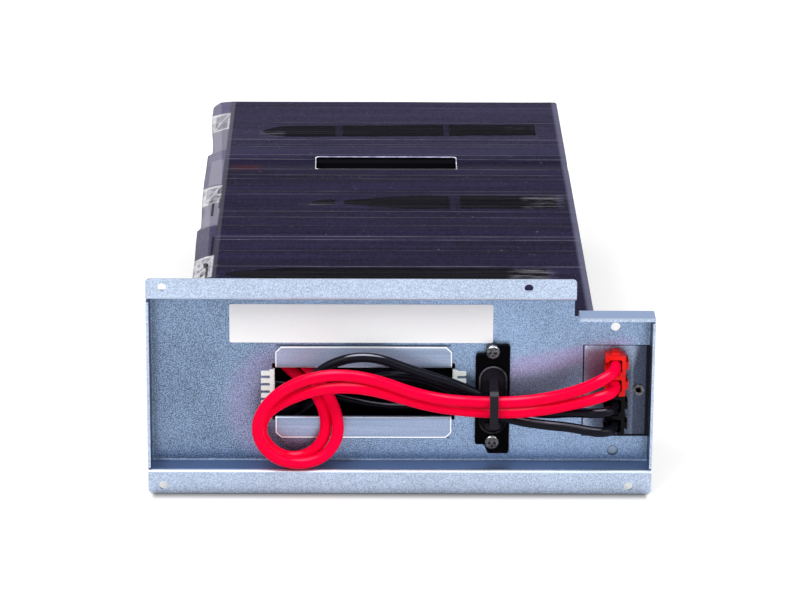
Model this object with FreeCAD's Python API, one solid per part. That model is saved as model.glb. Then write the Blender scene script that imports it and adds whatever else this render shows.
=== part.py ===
"""Battery cartridge for a two-unit rack power supply.

Three sealed 12 V batteries lie on their sides in a row on a steel tray, held together by a
shrink film.  A folded steel panel closes the front.  It carries the cable window, the cable
clamp and a plate with four single-pole power connectors.

Millimetres.  X runs to the right seen from the front, Y runs to the rear, Z is up.  While the
pieces are built, Y is measured from the front face of the panel's lips.  Every piece is moved
once, at the end, so that the origin lies under the middle of the whole cartridge.
"""
import FreeCAD, Part
import math
import os

Vector = FreeCAD.Vector

# ---------------------------------------------------------------- driving dimensions
# front panel, folded from sheet
PANEL_WIDTH = 198.0
PANEL_HEIGHT = 88.9              # two rack units
SHEET = 1.0
BEND_RADIUS = 0.8
WEB_DEPTH = 11.0                 # front of the lips to the front of the web
TOP_LIP_HEIGHT = 8.8
BOTTOM_LIP_HEIGHT = 9.8
SHELF_HEIGHT = 72.8              # top of the lower shelf at the right
SHELF_LENGTH = 29.4              # at the panel's right end
SHELF_RELIEF = 1.6               # slot between the tall part and the shelf
LIP_CORNER = 1.6
LIP_HOLE_DIAMETER = 3.4
TOP_HOLES_X = (-92.7, 49.4)
TOP_HOLES_DROP = 3.5             # below the top edge
BOTTOM_HOLES_X = (-93.1, 90.0)
BOTTOM_HOLES_Z = 3.2

# cable window in the web, with a flap folded back over its upper and lower edge
WINDOW_LEFT_X = -50.4
WINDOW_RIGHT_X = 21.5
WINDOW_LOW_Z = 28.6
WINDOW_HIGH_Z = 48.8
HEM_HEIGHT = 8.9
HEM_GAP = 0.3
HEM_CHAMFER = 2.2
HEM_INSET = 1.3                  # from the ends of the window
HEM_RELIEF = 0.6

# moulded edging on the two ends of the window
EDGING_SKIN = 0.8
EDGING_GRIP = 0.9                # how far the spine laps over the web
EDGING_SPINE = 1.0               # how far the spine stands into the window
EDGING_FINGER = 3.5
EDGING_FINGER_WIDTH = 1.8
EDGING_FINGER_COUNT = 6
EDGING_PITCH = 3.1
EDGING_END = 0.6                 # past the outermost fingers
EDGING_FIT = 0.03

# blank label on the web
LABEL_LEFT_X = -67.0
LABEL_WIDTH = 103.2
LABEL_DROP = 5.1                 # below the upper fold
LABEL_HEIGHT = 15.9
LABEL_THICKNESS = 0.15
LABEL_CORNER = 0.8
LABEL_TRIM = 0.2                 # gap where it is trimmed round the clamp

# connector plate behind a cut-out of the web
PLATE_CUT_WIDTH = 26.4
PLATE_CUT_LOW_Z = 20.2
PLATE_CUT_HIGH_Z = 58.5
PLATE_OVERLAP = 1.9
PLATE_LOW_OVERLAP = 8.6
PLATE_END_GAP = 0.1              # short of the panel's right side
GUIDE_HOLE_DIAMETER = 3.7
GUIDE_HOLE_LOW_Z = 14.1
GUIDE_HOLE_HIGH_Z = 65.9
RIVET_INSET = 5.2                # from the panel's right side
RIVET_Z = 39.4
RIVET_HEAD_DIAMETER = 4.6
RIVET_HEAD_HEIGHT = 0.6
RIVET_SHANK_DIAMETER = 3.2
RIVET_BORE_DIAMETER = 2.2

# single-pole connectors, stacked by their dovetails, named from the lowest up
CONNECTOR_NAMES = ("black_2", "black_1", "red_2", "red_1")
CONNECTOR_INSET = 14.8           # from the panel's right side
CONNECTOR_WIDTH = 8.0
CONNECTOR_PITCH = 8.3
CONNECTOR_LOW_Z = 22.3
CONNECTOR_PROUD = 6.5            # in front of the connector plate
CONNECTOR_LENGTH = 24.6
CONNECTOR_EDGE = 0.4
CONNECTOR_FIT = 0.02
DOVETAIL_HEIGHT = 1.2
DOVETAIL_TIP = 3.6
DOVETAIL_NECK = 2.4
DOVETAIL_FIT = 0.1
DOVETAIL_SETBACK = 1.0           # from the front face
WIRE_MOUTH = 5.2
WIRE_MOUTH_CORNER = 0.9
WIRE_MOUTH_DEPTH = 9.5
MATING_MOUTH = 6.0
MATING_MOUTH_DEPTH = 12.0
CONTACT_TONGUE_WIDTH = 4.0
CONTACT_TONGUE_THICKNESS = 1.0
CONTACT_TONGUE_TIP_GAP = 2.0     # inside the mating mouth
CONTACT_BARREL_DIAMETER = 3.6
CONTACT_BARREL_START = 3.1       # behind the front face of the housing

# cable clamp
CLAMP_LEFT_X = 29.5
CLAMP_WIDTH = 13.5
CLAMP_LOW_Z = 13.5
CLAMP_HEIGHT = 45.3
CLAMP_THICKNESS = 2.0
CLAMP_NOTCH_WIDTH = 5.2
CLAMP_NOTCH_HEIGHT = 3.8
CLAMP_NOTCH_SLOPE = 1.6
CLAMP_CORNER = 1.2
BOSS_X = 36.4
BOSS_WIDTH = 11.6
BOSS_HEIGHT = 28.8
BOSS_LOW_Z = 21.8
BOSS_PROUD = 0.8
BOSS_RIM = 1.0
BOSS_DISH = 0.5
SCREW_X = 36.2
SCREW_LOW_Z = 18.7
SCREW_HIGH_Z = 56.3
SCREW_DIAMETER = 3.0
SCREW_HOLE_DIAMETER = 3.3
SCREW_HEAD_DIAMETER = 5.9
SCREW_HEAD_HEIGHT = 2.1
SCREW_HEAD_ROUND = 1.1
SCREW_LENGTH = 3.7
CROSS_SPAN = 3.2
CROSS_WIDTH = 0.8
CROSS_DEPTH = 1.1
STRAP_X = 36.5
STRAP_WIDTH = 3.4
STRAP_THICKNESS = 1.3
STRAP_HIGH_Z = 45.6
STRAP_LOW_Z = 25.6
STRAP_PROUD = 4.7                # in front of the panel's lips
STRAP_DROOP = 2.4                # the two legs lean towards each other
STRAP_BEND = 2.6
STRAP_FOOT_WIDTH = 6.4
STRAP_FOOT_HEIGHT = 3.0
STRAP_FOOT_THICKNESS = 1.2

# one battery, standing upright in its own frame
BATTERY_LENGTH = 151.0
BATTERY_WIDTH = 65.0
BATTERY_HEIGHT = 94.0            # case and lid, without the blades
LID_HEIGHT = 7.0
LID_INSET = 0.4
LID_CHAMFER = 1.0
CASE_CORNER = 3.0
CASE_BOTTOM_EDGE = 2.0
CASE_PANEL_DEPTH = 0.4
CASE_PANEL_MARGIN = 9.0
CASE_PANEL_CORNER = 3.0
POCKET_DEPTH = 2.5
POCKET_LENGTH = 17.0
POCKET_WIDTH = 18.0
POCKET_CORNER = 2.0
VENT_COVER_LENGTH = 96.0
VENT_COVER_WIDTH = 26.0
VENT_COVER_DEPTH = 1.2
VENT_COVER_PROUD = 0.3
VENT_COVER_FIT = 0.15
VENT_COVER_CORNER = 2.0
TERMINAL_INSET_X = 9.0           # blade centre from the end of the battery
TERMINAL_INSET_Y = 13.0          # blade centre from the long side
BLADE_WIDTH = 6.35
BLADE_THICKNESS = 0.8
BLADE_HEIGHT = 7.6
BLADE_TIP = 1.0
BLADE_HOLE_DIAMETER = 1.6
BLADE_HOLE_DROP = 3.0
BLADE_FOOT_LENGTH = 9.0
BLADE_FOOT_WIDTH = 6.0
BLADE_FOOT_HEIGHT = 0.8

# insulated push-on connectors on the blades
BOOT_LENGTH = 12.0
BOOT_HEIGHT = 9.0
BOOT_WIDTH = 7.6
BOOT_DOUBLE_WIDTH = 10.4         # where two leads leave one boot
BOOT_LEAD_SHIFT = 2.4            # of the two leads that leave one boot, from its middle
BOOT_CORNER = 1.2
BOOT_LIFT = 0.4                  # above the lid
BOOT_FIT = 0.1

# pack, film and tray
FILM_THICKNESS = 0.35
FILM_CLEARANCE = 0.1
FILM_OVERHANG_LEFT = 8.9
FILM_OVERHANG_RIGHT = 0.4
FILM_CORNER = 2.0
FILM_SLOT_LEFT_X = -35.7
FILM_SLOT_RIGHT_X = 26.9
FILM_SLOT_LAP = 1.05             # over the edge of the second battery
FILM_SLOT_WIDTH = 18.4
FILM_EXIT_MARGIN = 4.0           # around the cable window
FRONT_WIRING_GAP = 12.4
MIDDLE_WIRING_GAP = 14.5
PAD_THICKNESS = 2.0
PAD_MARGIN = 12.0
LINER_THICKNESS = 1.0
LINER_INSET = 4.0                # from the tray's sides and folds
TRAY_HALF_WIDTH = 75.0
TRAY_UPSTAND_HEIGHT = 20.0
TRAY_UPSTAND_HALF_WIDTH = 27.0
TRAY_REAR_HEIGHT = 9.0
TRAY_REAR_GAP = 0.15

# wiring
RED_LEAD_DIAMETER = 4.6
BLACK_LEAD_DIAMETER = 3.9
INNER_LEAD_DIAMETER = 3.9
SPLICE_LEFT_X = -62.0
SPLICE_LENGTH = 12.0
SPLICE_HEIGHT = 8.6
SPLICE_THICKNESS = 4.6
SPLICE_Z = 26.0
SPLICE_Y = 17.6

# working values
PAST = 1.0                       # how far a cutting shape runs past the faces it cuts
NEAR = 0.001                     # two places this close are the same place
ARC_SHARE = 0.45                 # share of the shorter run that each bend of a lead takes up

# ---------------------------------------------------------------- derived places
HALF_PANEL = PANEL_WIDTH / 2
TOP_FOLD_Z = PANEL_HEIGHT - TOP_LIP_HEIGHT
LABEL_LOW_Z = TOP_FOLD_Z - LABEL_DROP - LABEL_HEIGHT
SHELF_LEFT_X = HALF_PANEL - SHELF_LENGTH
PLATE_CUT_RIGHT_X = HALF_PANEL - SHEET
PLATE_CUT_LEFT_X = PLATE_CUT_RIGHT_X - PLATE_CUT_WIDTH
RIVET_X = HALF_PANEL - RIVET_INSET
CONNECTOR_X = HALF_PANEL - CONNECTOR_INSET
WEB_BACK = WEB_DEPTH + SHEET
PLATE_BACK = WEB_BACK + SHEET
CONNECTOR_FRONT = WEB_BACK - CONNECTOR_PROUD
CLAMP_FRONT = WEB_DEPTH - CLAMP_THICKNESS
FILM_FRONT = WEB_BACK + SHEET + FILM_CLEARANCE
FILM_BOTTOM = SHEET + LINER_THICKNESS
PACK_BOTTOM = FILM_BOTTOM + FILM_THICKNESS
PACK_TOP = PACK_BOTTOM + BATTERY_WIDTH
FILM_TOP = PACK_TOP + FILM_CLEARANCE + FILM_THICKNESS
BATTERY_1_FRONT = FILM_FRONT + FILM_THICKNESS + FRONT_WIRING_GAP
BATTERY_2_FRONT = BATTERY_1_FRONT + BATTERY_HEIGHT + PAD_THICKNESS
BATTERY_3_FRONT = BATTERY_2_FRONT + BATTERY_HEIGHT + MIDDLE_WIRING_GAP
FILM_SLOT_NEAR_Y = BATTERY_2_FRONT + BATTERY_HEIGHT - FILM_SLOT_LAP
FILM_BACK = BATTERY_3_FRONT + BATTERY_HEIGHT + FILM_CLEARANCE + FILM_THICKNESS
TRAY_BACK = FILM_BACK + TRAY_REAR_GAP + SHEET
HALF_LENGTH = BATTERY_LENGTH / 2
TERMINAL_X = HALF_LENGTH - TERMINAL_INSET_X
TERMINAL_Y = BATTERY_WIDTH - TERMINAL_INSET_Y
POCKET_FLOOR = BATTERY_HEIGHT - POCKET_DEPTH
BOOT_INNER_X = TERMINAL_X - BOOT_LENGTH / 2
BOOT_OUTER_X = TERMINAL_X + BOOT_LENGTH / 2
BOOT_HIGH_Z = PACK_BOTTOM + TERMINAL_Y
BOOT_LOW_Z = PACK_TOP - TERMINAL_Y
BOOT_1_Y = BATTERY_1_FRONT - BOOT_LIFT - BOOT_HEIGHT / 2
BOOT_2_Y = BATTERY_2_FRONT + BATTERY_HEIGHT + BOOT_LIFT + BOOT_HEIGHT / 2
BOOT_3_Y = BATTERY_3_FRONT - BOOT_LIFT - BOOT_HEIGHT / 2
GAP_Y = (BOOT_2_Y + BOOT_3_Y) / 2
MIDDLE_Y = (TRAY_BACK - STRAP_PROUD) / 2

# ---------------------------------------------------------------- routes of the wiring
def beside(share):
    """The Y of a place beside the pack, as a share of the way from the first boots to the last."""
    return BOOT_1_Y + share * (BOOT_3_Y - BOOT_1_Y)


def past_strap(share):
    """The X of a place on the way from the clamp's strap to the connectors, as a share of it."""
    return STRAP_X + share * (CONNECTOR_X - STRAP_X)


# Points of each route, from the inner end to the outer end: X, Y behind the lips, Z.
RED_LEAD_1_ROUTE = [
    (-BOOT_INNER_X, BOOT_1_Y, BOOT_HIGH_Z + BOOT_LEAD_SHIFT),
    (-54.5, BOOT_1_Y, BOOT_HIGH_Z + BOOT_LEAD_SHIFT), (-46.5, 19.8, 54.8), (-39.2, 17.2, 49.8),
    (-33.0, 12.8, 43.6), (-27.6, 8.2, 37.2), (-24.3, 4.8, 29.4), (-24.6, 3.0, 21.2),
    (-30.2, 1.6, 14.2), (-39.2, 0.4, 11.9), (-49.0, -1.0, 14.6), (-55.6, -2.4, 22.6),
    (-56.0, -3.4, 32.4), (-50.2, -4.2, 41.6), (-41.0, -4.6, 48.0), (-30.0, -4.6, 51.2),
    (-18.6, -4.4, 51.0), (-7.6, -3.6, 48.2), (3.2, -2.4, 43.6), (14.5, -1.4, 40.2),
    (26.5, -0.8, 38.9), (past_strap(0.042), -0.6, 38.5), (past_strap(0.283), -0.8, 39.2),
    (past_strap(0.503), -1.6, 41.4), (past_strap(0.702), -4.2, 45.2), (past_strap(0.870), -5.8, 49.6),
    (CONNECTOR_X, 0.2, 51.35), (CONNECTOR_X, 8.6, 51.35),
]
RED_LEAD_2_ROUTE = [
    (-BOOT_INNER_X, BOOT_1_Y, BOOT_HIGH_Z - BOOT_LEAD_SHIFT),
    (-54.5, BOOT_1_Y, BOOT_HIGH_Z - BOOT_LEAD_SHIFT), (-47.5, 19.6, 49.0), (-42.2, 17.6, 44.4),
    (-36.8, 15.0, 40.4), (-31.6, 10.6, 35.6), (-29.0, 6.8, 28.8), (-29.6, 5.6, 21.4),
    (-34.5, 5.6, 15.0), (-42.5, 5.4, 12.6), (-50.2, 4.4, 16.0), (-55.2, 2.6, 24.2),
    (-53.2, 0.6, 32.8), (-46.6, -1.4, 38.6), (-38.0, -3.0, 43.0), (-28.5, -3.8, 45.6),
    (-18.5, -3.6, 45.8), (-8.5, -2.2, 43.6), (1.5, 0.0, 39.6), (12.0, 1.2, 36.2),
    (23.5, 1.4, 34.4), (35.5, 1.0, 33.7), (past_strap(0.220), 0.6, 33.9),
    (past_strap(0.4465), 0.0, 35.6), (past_strap(0.660), -2.0, 38.6), (past_strap(0.857), -5.4, 42.4),
    (CONNECTOR_X, 0.2, 43.05), (CONNECTOR_X, 8.6, 43.05),
]
BLACK_LEAD_1_ROUTE = [
    (-50.0, 17.6, 28.1), (-43.8, 17.6, 28.1), (-41.6, 13.8, 33.0), (-40.0, 8.4, 39.4),
    (-35.6, 5.0, 46.0), (-28.6, 3.8, 52.2), (-19.2, 3.4, 55.8), (-8.8, 3.2, 55.6),
    (0.8, 3.2, 51.8), (10.6, 3.4, 48.2), (20.4, 3.6, 45.0), (29.0, 4.4, 40.8),
    (past_strap(0.015), 5.4, 36.0), (past_strap(0.212), 5.2, 33.2), (past_strap(0.4255), 4.4, 31.8),
    (past_strap(0.648), 2.4, 33.4), (past_strap(0.857), -2.6, 34.7),
    (CONNECTOR_X, 1.0, 34.75), (CONNECTOR_X, 8.6, 34.75),
]
BLACK_LEAD_2_ROUTE = [
    (-50.0, 17.6, 23.9), (-43.0, 17.6, 23.9), (-36.4, 18.6, 29.2), (-28.6, 17.6, 36.6),
    (-19.6, 13.8, 42.0), (-10.4, 9.2, 45.4), (-1.0, 6.8, 47.2), (8.2, 6.6, 46.2),
    (17.4, 6.6, 42.6), (26.8, 6.0, 37.4), (36.4, 5.4, 31.6), (past_strap(0.2075), 4.0, 29.0),
    (past_strap(0.4255), 1.4, 28.4), (past_strap(0.6435), -0.6, 28.2), (past_strap(0.857), -4.2, 27.2),
    (CONNECTOR_X, 0.6, 26.45), (CONNECTOR_X, 8.6, 26.45),
]
LONG_JUMPER_ROUTE = [
    (-BOOT_OUTER_X, BOOT_3_Y, BOOT_HIGH_Z), (-78.0, BOOT_3_Y, BOOT_HIGH_Z),
    (-81.4, beside(0.978), 54.0), (-81.0, beside(0.93), 52.8), (-79.8, beside(0.838), 50.6),
    (-79.3, beside(0.65), 46.6), (-79.8, beside(0.424), 42.0), (-79.3, beside(0.225), 39.0),
    (-79.8, beside(0.105), 37.4), (-79.5, beside(0.045), 36.8), (-76.4, 21.8, 36.8),
    (-69.0, 21.2, 37.4), (-56.0, 22.3, 38.4), (-40.0, 22.6, 36.2), (-24.0, 22.6, 31.6),
    (-8.0, 22.4, 28.0), (8.0, 22.5, 27.6), (24.0, 22.4, 31.8), (38.0, 22.2, 39.6),
    (48.0, 21.6, 48.4), (54.4, BOOT_1_Y, BOOT_HIGH_Z), (BOOT_INNER_X, BOOT_1_Y, BOOT_HIGH_Z),
]
FEED_LEAD_ROUTE = [
    (-BOOT_OUTER_X, BOOT_2_Y, BOOT_LOW_Z), (-78.0, BOOT_2_Y, BOOT_LOW_Z),
    (-81.4, beside(0.955), 15.6), (-81.0, beside(0.905), 16.0), (-79.8, beside(0.81), 16.6),
    (-79.3, beside(0.63), 17.6), (-79.8, beside(0.41), 18.8), (-79.3, beside(0.207), 20.6),
    (-79.8, beside(0.09), 22.2), (-78.8, 26.0, 23.8), (-74.6, 18.8, 25.2),
    (-68.2, SPLICE_Y, SPLICE_Z), (SPLICE_LEFT_X, SPLICE_Y, SPLICE_Z),
]
SHORT_JUMPER_ROUTE = [
    (BOOT_INNER_X, BOOT_3_Y, BOOT_HIGH_Z), (53.6, BOOT_3_Y, BOOT_HIGH_Z),
    (49.2, GAP_Y + 1.2, 44.2), (48.6, GAP_Y, 34.6), (49.4, GAP_Y - 1.2, 25.0),
    (54.0, BOOT_2_Y, BOOT_LOW_Z), (BOOT_INNER_X, BOOT_2_Y, BOOT_LOW_Z),
]


# ---------------------------------------------------------------- helpers
def rounded_wire(corners, radii):
    """A closed wire through 3-D corners in one plane, each rounded by its own radius."""
    count = len(corners)
    starts = []
    middles = []
    ends = []
    for i in range(count):
        corner = corners[i]
        if radii[i] == 0:
            starts.append(corner)
            middles.append(None)
            ends.append(corner)
            continue
        before = (corners[i - 1] - corner).normalize()
        after = (corners[(i + 1) % count] - corner).normalize()
        half_angle = before.getAngle(after) / 2
        reach = radii[i] / math.tan(half_angle)
        inward = (before + after).normalize()
        centre = corner + inward * (radii[i] / math.sin(half_angle))
        starts.append(corner + before * reach)
        middles.append(centre - inward * radii[i])
        ends.append(corner + after * reach)
    edges = []
    for i in range(count):
        if middles[i] is not None:
            edges.append(Part.Arc(starts[i], middles[i], ends[i]).toShape())
        next_start = starts[(i + 1) % count]
        if next_start.distanceToPoint(ends[i]) > NEAR:
            edges.append(Part.LineSegment(ends[i], next_start).toShape())
    return Part.Wire(edges)


def prism(corners, radii, direction):
    """The rounded outline through the corners, pushed along a direction."""
    return Part.Face(rounded_wire(corners, radii)).extrude(direction)


def plate_xz(outline, radius, front, thickness):
    """A flat plate that faces the front, from X and Z values and one corner radius."""
    corners = [Vector(x, front, z) for x, z in outline]
    return prism(corners, [radius] * len(corners), Vector(0, thickness, 0))


def plate_xy(outline, radius, low_z, thickness):
    """A flat plate that lies level, from X and Y values and one corner radius."""
    corners = [Vector(x, y, low_z) for x, y in outline]
    return prism(corners, [radius] * len(corners), Vector(0, 0, thickness))


def rectangle(left, right, low, high):
    """The four corners of a rectangle."""
    return [(left, low), (right, low), (right, high), (left, high)]


def block(x, y, z):
    """A box from its two limits along each axis."""
    return Part.makeBox(x[1] - x[0], y[1] - y[0], z[1] - z[0], Vector(x[0], y[0], z[0]))


def rod_y(x, z, diameter, front, back):
    """A cylinder along Y."""
    return Part.makeCylinder(diameter / 2, back - front, Vector(x, front, z), Vector(0, 1, 0))


def folded_strip(path, x, thickness, bend):
    """A folded strip as wide as x: one skin follows a path of Y and Z, metal on its left."""
    skin = [Vector(x[0], y, z) for y, z in path]
    normals = []
    for i in range(len(skin) - 1):
        run = (skin[i + 1] - skin[i]).normalize()
        normals.append(Vector(0, -run.z, run.y))
    other = [skin[0] + normals[0] * thickness]
    skin_radii = [0]
    other_radii = [0]
    for i in range(1, len(normals)):
        mitre = (normals[i - 1] + normals[i]) * (thickness / (1 + normals[i - 1].dot(normals[i])))
        other.append(skin[i] + mitre)
        skin_is_outside = normals[i - 1].cross(normals[i]).x > 0
        skin_radii.append(bend + thickness if skin_is_outside else bend)
        other_radii.append(bend if skin_is_outside else bend + thickness)
    other.append(skin[-1] + normals[-1] * thickness)
    corners = skin + other[::-1]
    radii = skin_radii + [0] + [0] + other_radii[:0:-1] + [0]
    return prism(corners, radii, Vector(x[1] - x[0], 0, 0))


# ---------------------------------------------------------------- front panel
def hem(edge_z, outward):
    """One flap of the window: a half circle at the edge and a leaf laid on the web."""
    outer = SHEET + HEM_GAP / 2
    inner = HEM_GAP / 2
    centre_y = WEB_DEPTH - inner
    turn_z = edge_z + outward * outer
    left = WINDOW_LEFT_X + HEM_INSET
    right = WINDOW_RIGHT_X - HEM_INSET
    front_low = Vector(left, centre_y - outer, turn_z)
    back_low = Vector(left, centre_y + outer, turn_z)
    front_high = Vector(left, centre_y - inner, turn_z)
    back_high = Vector(left, centre_y + inner, turn_z)
    outer_top = Vector(left, centre_y, edge_z)
    inner_top = Vector(left, centre_y, turn_z - outward * inner)
    section = Part.Wire([
        Part.Arc(front_low, outer_top, back_low).toShape(),
        Part.LineSegment(back_low, back_high).toShape(),
        Part.Arc(back_high, inner_top, front_high).toShape(),
        Part.LineSegment(front_high, front_low).toShape(),
    ])
    bend = Part.Face(section).extrude(Vector(right - left, 0, 0))
    free_z = edge_z + outward * HEM_HEIGHT
    chamfer_z = free_z - outward * HEM_CHAMFER
    outline = [
        (left, turn_z),
        (right, turn_z),
        (right, chamfer_z),
        (right - HEM_CHAMFER, free_z),
        (left + HEM_CHAMFER, free_z),
        (left, chamfer_z),
    ]
    return bend.fuse(plate_xz(outline, 0, centre_y - outer, SHEET))


def side_fold(side, high_z):
    """The fold at one end of the panel, with its bend to the web."""
    outside = side * HALF_PANEL
    inside = side * (HALF_PANEL - SHEET)
    web_end = side * (HALF_PANEL - SHEET - BEND_RADIUS)
    low_z = BOTTOM_LIP_HEIGHT + BEND_RADIUS
    outline = [(outside, 0), (outside, WEB_BACK), (web_end, WEB_BACK),
               (web_end, WEB_DEPTH), (inside, WEB_DEPTH), (inside, 0)]
    radii = [0, BEND_RADIUS + SHEET, 0, 0, BEND_RADIUS, 0]
    corners = [Vector(px, py, low_z) for px, py in outline]
    return prism(corners, radii, Vector(0, 0, high_z - low_z))


def window_cut():
    """The window as cut in the flat sheet, with a relief at each end of its two bends."""
    bend_reach = SHEET + HEM_GAP / 2
    low = WINDOW_LOW_Z - bend_reach
    high = WINDOW_HIGH_Z + bend_reach
    through = (WEB_DEPTH - PAST, WEB_BACK + PAST)
    cut = block((WINDOW_LEFT_X, WINDOW_RIGHT_X), through, (low, high))
    for start in (WINDOW_LEFT_X, WINDOW_RIGHT_X - HEM_INSET):
        relief = block((start, start + HEM_INSET), through, (low - HEM_RELIEF, high + HEM_RELIEF))
        cut = cut.fuse(relief)
    return cut


def front_panel():
    """The folded panel: web, four folds, two lips, the lower shelf and its openings."""
    tall_end = SHELF_LEFT_X - SHELF_RELIEF
    low_path = [(WEB_DEPTH, BOTTOM_LIP_HEIGHT), (0, BOTTOM_LIP_HEIGHT), (0, 0)]
    tall_path = [(0, PANEL_HEIGHT), (0, TOP_FOLD_Z), (WEB_DEPTH, TOP_FOLD_Z)] + low_path
    shelf_path = [(0, SHELF_HEIGHT - SHEET), (WEB_DEPTH, SHELF_HEIGHT - SHEET)] + low_path
    panel = folded_strip(tall_path, (-HALF_PANEL, tall_end), SHEET, BEND_RADIUS)
    panel = panel.fuse(folded_strip(shelf_path, (tall_end, HALF_PANEL), SHEET, BEND_RADIUS))
    relief_z = SHELF_HEIGHT - SHEET - BEND_RADIUS - SHEET
    panel = panel.cut(block((tall_end, SHELF_LEFT_X), (-PAST, WEB_BACK + PAST),
                            (relief_z, PANEL_HEIGHT)))
    # the web's two ends give way to the side folds
    web_end = HALF_PANEL - SHEET - BEND_RADIUS
    low_z = BOTTOM_LIP_HEIGHT + BEND_RADIUS
    for side, fold_top in ((-1, TOP_FOLD_Z), (1, SHELF_HEIGHT - SHEET)):
        high_z = fold_top - BEND_RADIUS
        span = sorted((side * web_end, side * (HALF_PANEL + PAST)))
        panel = panel.cut(block(span, (WEB_DEPTH - PAST, WEB_BACK + PAST), (low_z, high_z)))
        panel = panel.fuse(side_fold(side, high_z))
    panel = panel.cut(window_cut())
    panel = panel.fuse(hem(WINDOW_HIGH_Z, 1))
    panel = panel.fuse(hem(WINDOW_LOW_Z, -1))
    plate_cut = block((PLATE_CUT_LEFT_X, PLATE_CUT_RIGHT_X), (WEB_DEPTH - PAST, WEB_BACK + PAST),
                      (PLATE_CUT_LOW_Z, PLATE_CUT_HIGH_Z))
    panel = panel.cut(plate_cut)
    for z in (GUIDE_HOLE_LOW_Z, GUIDE_HOLE_HIGH_Z):
        panel = panel.cut(rod_y(CONNECTOR_X, z, GUIDE_HOLE_DIAMETER, 0, WEB_BACK + PAST))
    for z in (SCREW_LOW_Z, SCREW_HIGH_Z):
        panel = panel.cut(rod_y(SCREW_X, z, SCREW_DIAMETER, 0, WEB_BACK + PAST))
    for x in TOP_HOLES_X:
        z = PANEL_HEIGHT - TOP_HOLES_DROP
        panel = panel.cut(rod_y(x, z, LIP_HOLE_DIAMETER, -PAST, SHEET + PAST))
    for x in BOTTOM_HOLES_X:
        panel = panel.cut(rod_y(x, BOTTOM_HOLES_Z, LIP_HOLE_DIAMETER, -PAST, SHEET + PAST))
    return round_lip_corners(panel.removeSplitter(), tall_end)


def round_lip_corners(panel, tall_end):
    """Round the four free corners of the two lips."""
    spots = [(-HALF_PANEL, PANEL_HEIGHT), (tall_end, PANEL_HEIGHT), (-HALF_PANEL, 0), (HALF_PANEL, 0)]
    edges = []
    for edge in panel.Edges:
        middle = edge.CenterOfMass
        for x, z in spots:
            if middle.distanceToPoint(Vector(x, SHEET / 2, z)) < NEAR:
                edges.append(edge)
    return panel.makeFillet(LIP_CORNER, edges)


# ---------------------------------------------------------------- window edging and label
def window_edging(edge_x, inward):
    """A channel clipped on one end of the window, with fingers on both faces of the web."""
    spine = (edge_x - inward * EDGING_GRIP, edge_x + inward * EDGING_SPINE)
    tip = edge_x - inward * (EDGING_GRIP + EDGING_FINGER)
    grip = (edge_x - inward * (EDGING_GRIP + EDGING_FINGER), edge_x)
    front = WEB_DEPTH - EDGING_FIT - EDGING_SKIN
    back = WEB_BACK + EDGING_FIT + EDGING_SKIN
    middle_z = (WINDOW_LOW_Z + WINDOW_HIGH_Z) / 2
    half = (EDGING_FINGER_COUNT - 1) * EDGING_PITCH / 2 + EDGING_FINGER_WIDTH / 2 + EDGING_END
    corners = [Vector(spine[0], front, middle_z - half), Vector(spine[1], front, middle_z - half),
               Vector(spine[1], back, middle_z - half), Vector(spine[0], back, middle_z - half)]
    body = prism(corners, [0, EDGING_SKIN, EDGING_SKIN, 0], Vector(0, 0, 2 * half))
    for i in range(EDGING_FINGER_COUNT):
        z = middle_z + (i - (EDGING_FINGER_COUNT - 1) / 2) * EDGING_PITCH
        low = z - EDGING_FINGER_WIDTH / 2
        outline = rectangle(*sorted((tip, edge_x)), low, low + EDGING_FINGER_WIDTH)
        body = body.fuse(plate_xz(outline, EDGING_FINGER_WIDTH / 4, front, back - front))
    web_slot = block(sorted(grip), (WEB_DEPTH - EDGING_FIT, WEB_BACK + EDGING_FIT),
                     (middle_z - 2 * half, middle_z + 2 * half))
    return body.cut(web_slot).removeSplitter()


def blank_label():
    """A plain label stuck on the web above the window."""
    outline = rectangle(LABEL_LEFT_X, LABEL_LEFT_X + LABEL_WIDTH, LABEL_LOW_Z, LABEL_LOW_Z + LABEL_HEIGHT)
    label = plate_xz(outline, LABEL_CORNER, WEB_DEPTH - LABEL_THICKNESS, LABEL_THICKNESS)
    trim_x = CLAMP_LEFT_X + CLAMP_NOTCH_WIDTH - CLAMP_NOTCH_SLOPE - LABEL_TRIM
    trim = block((trim_x, HALF_PANEL), (0, WEB_BACK), (0, CLAMP_LOW_Z + CLAMP_HEIGHT + LABEL_TRIM))
    return label.cut(trim)


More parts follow.
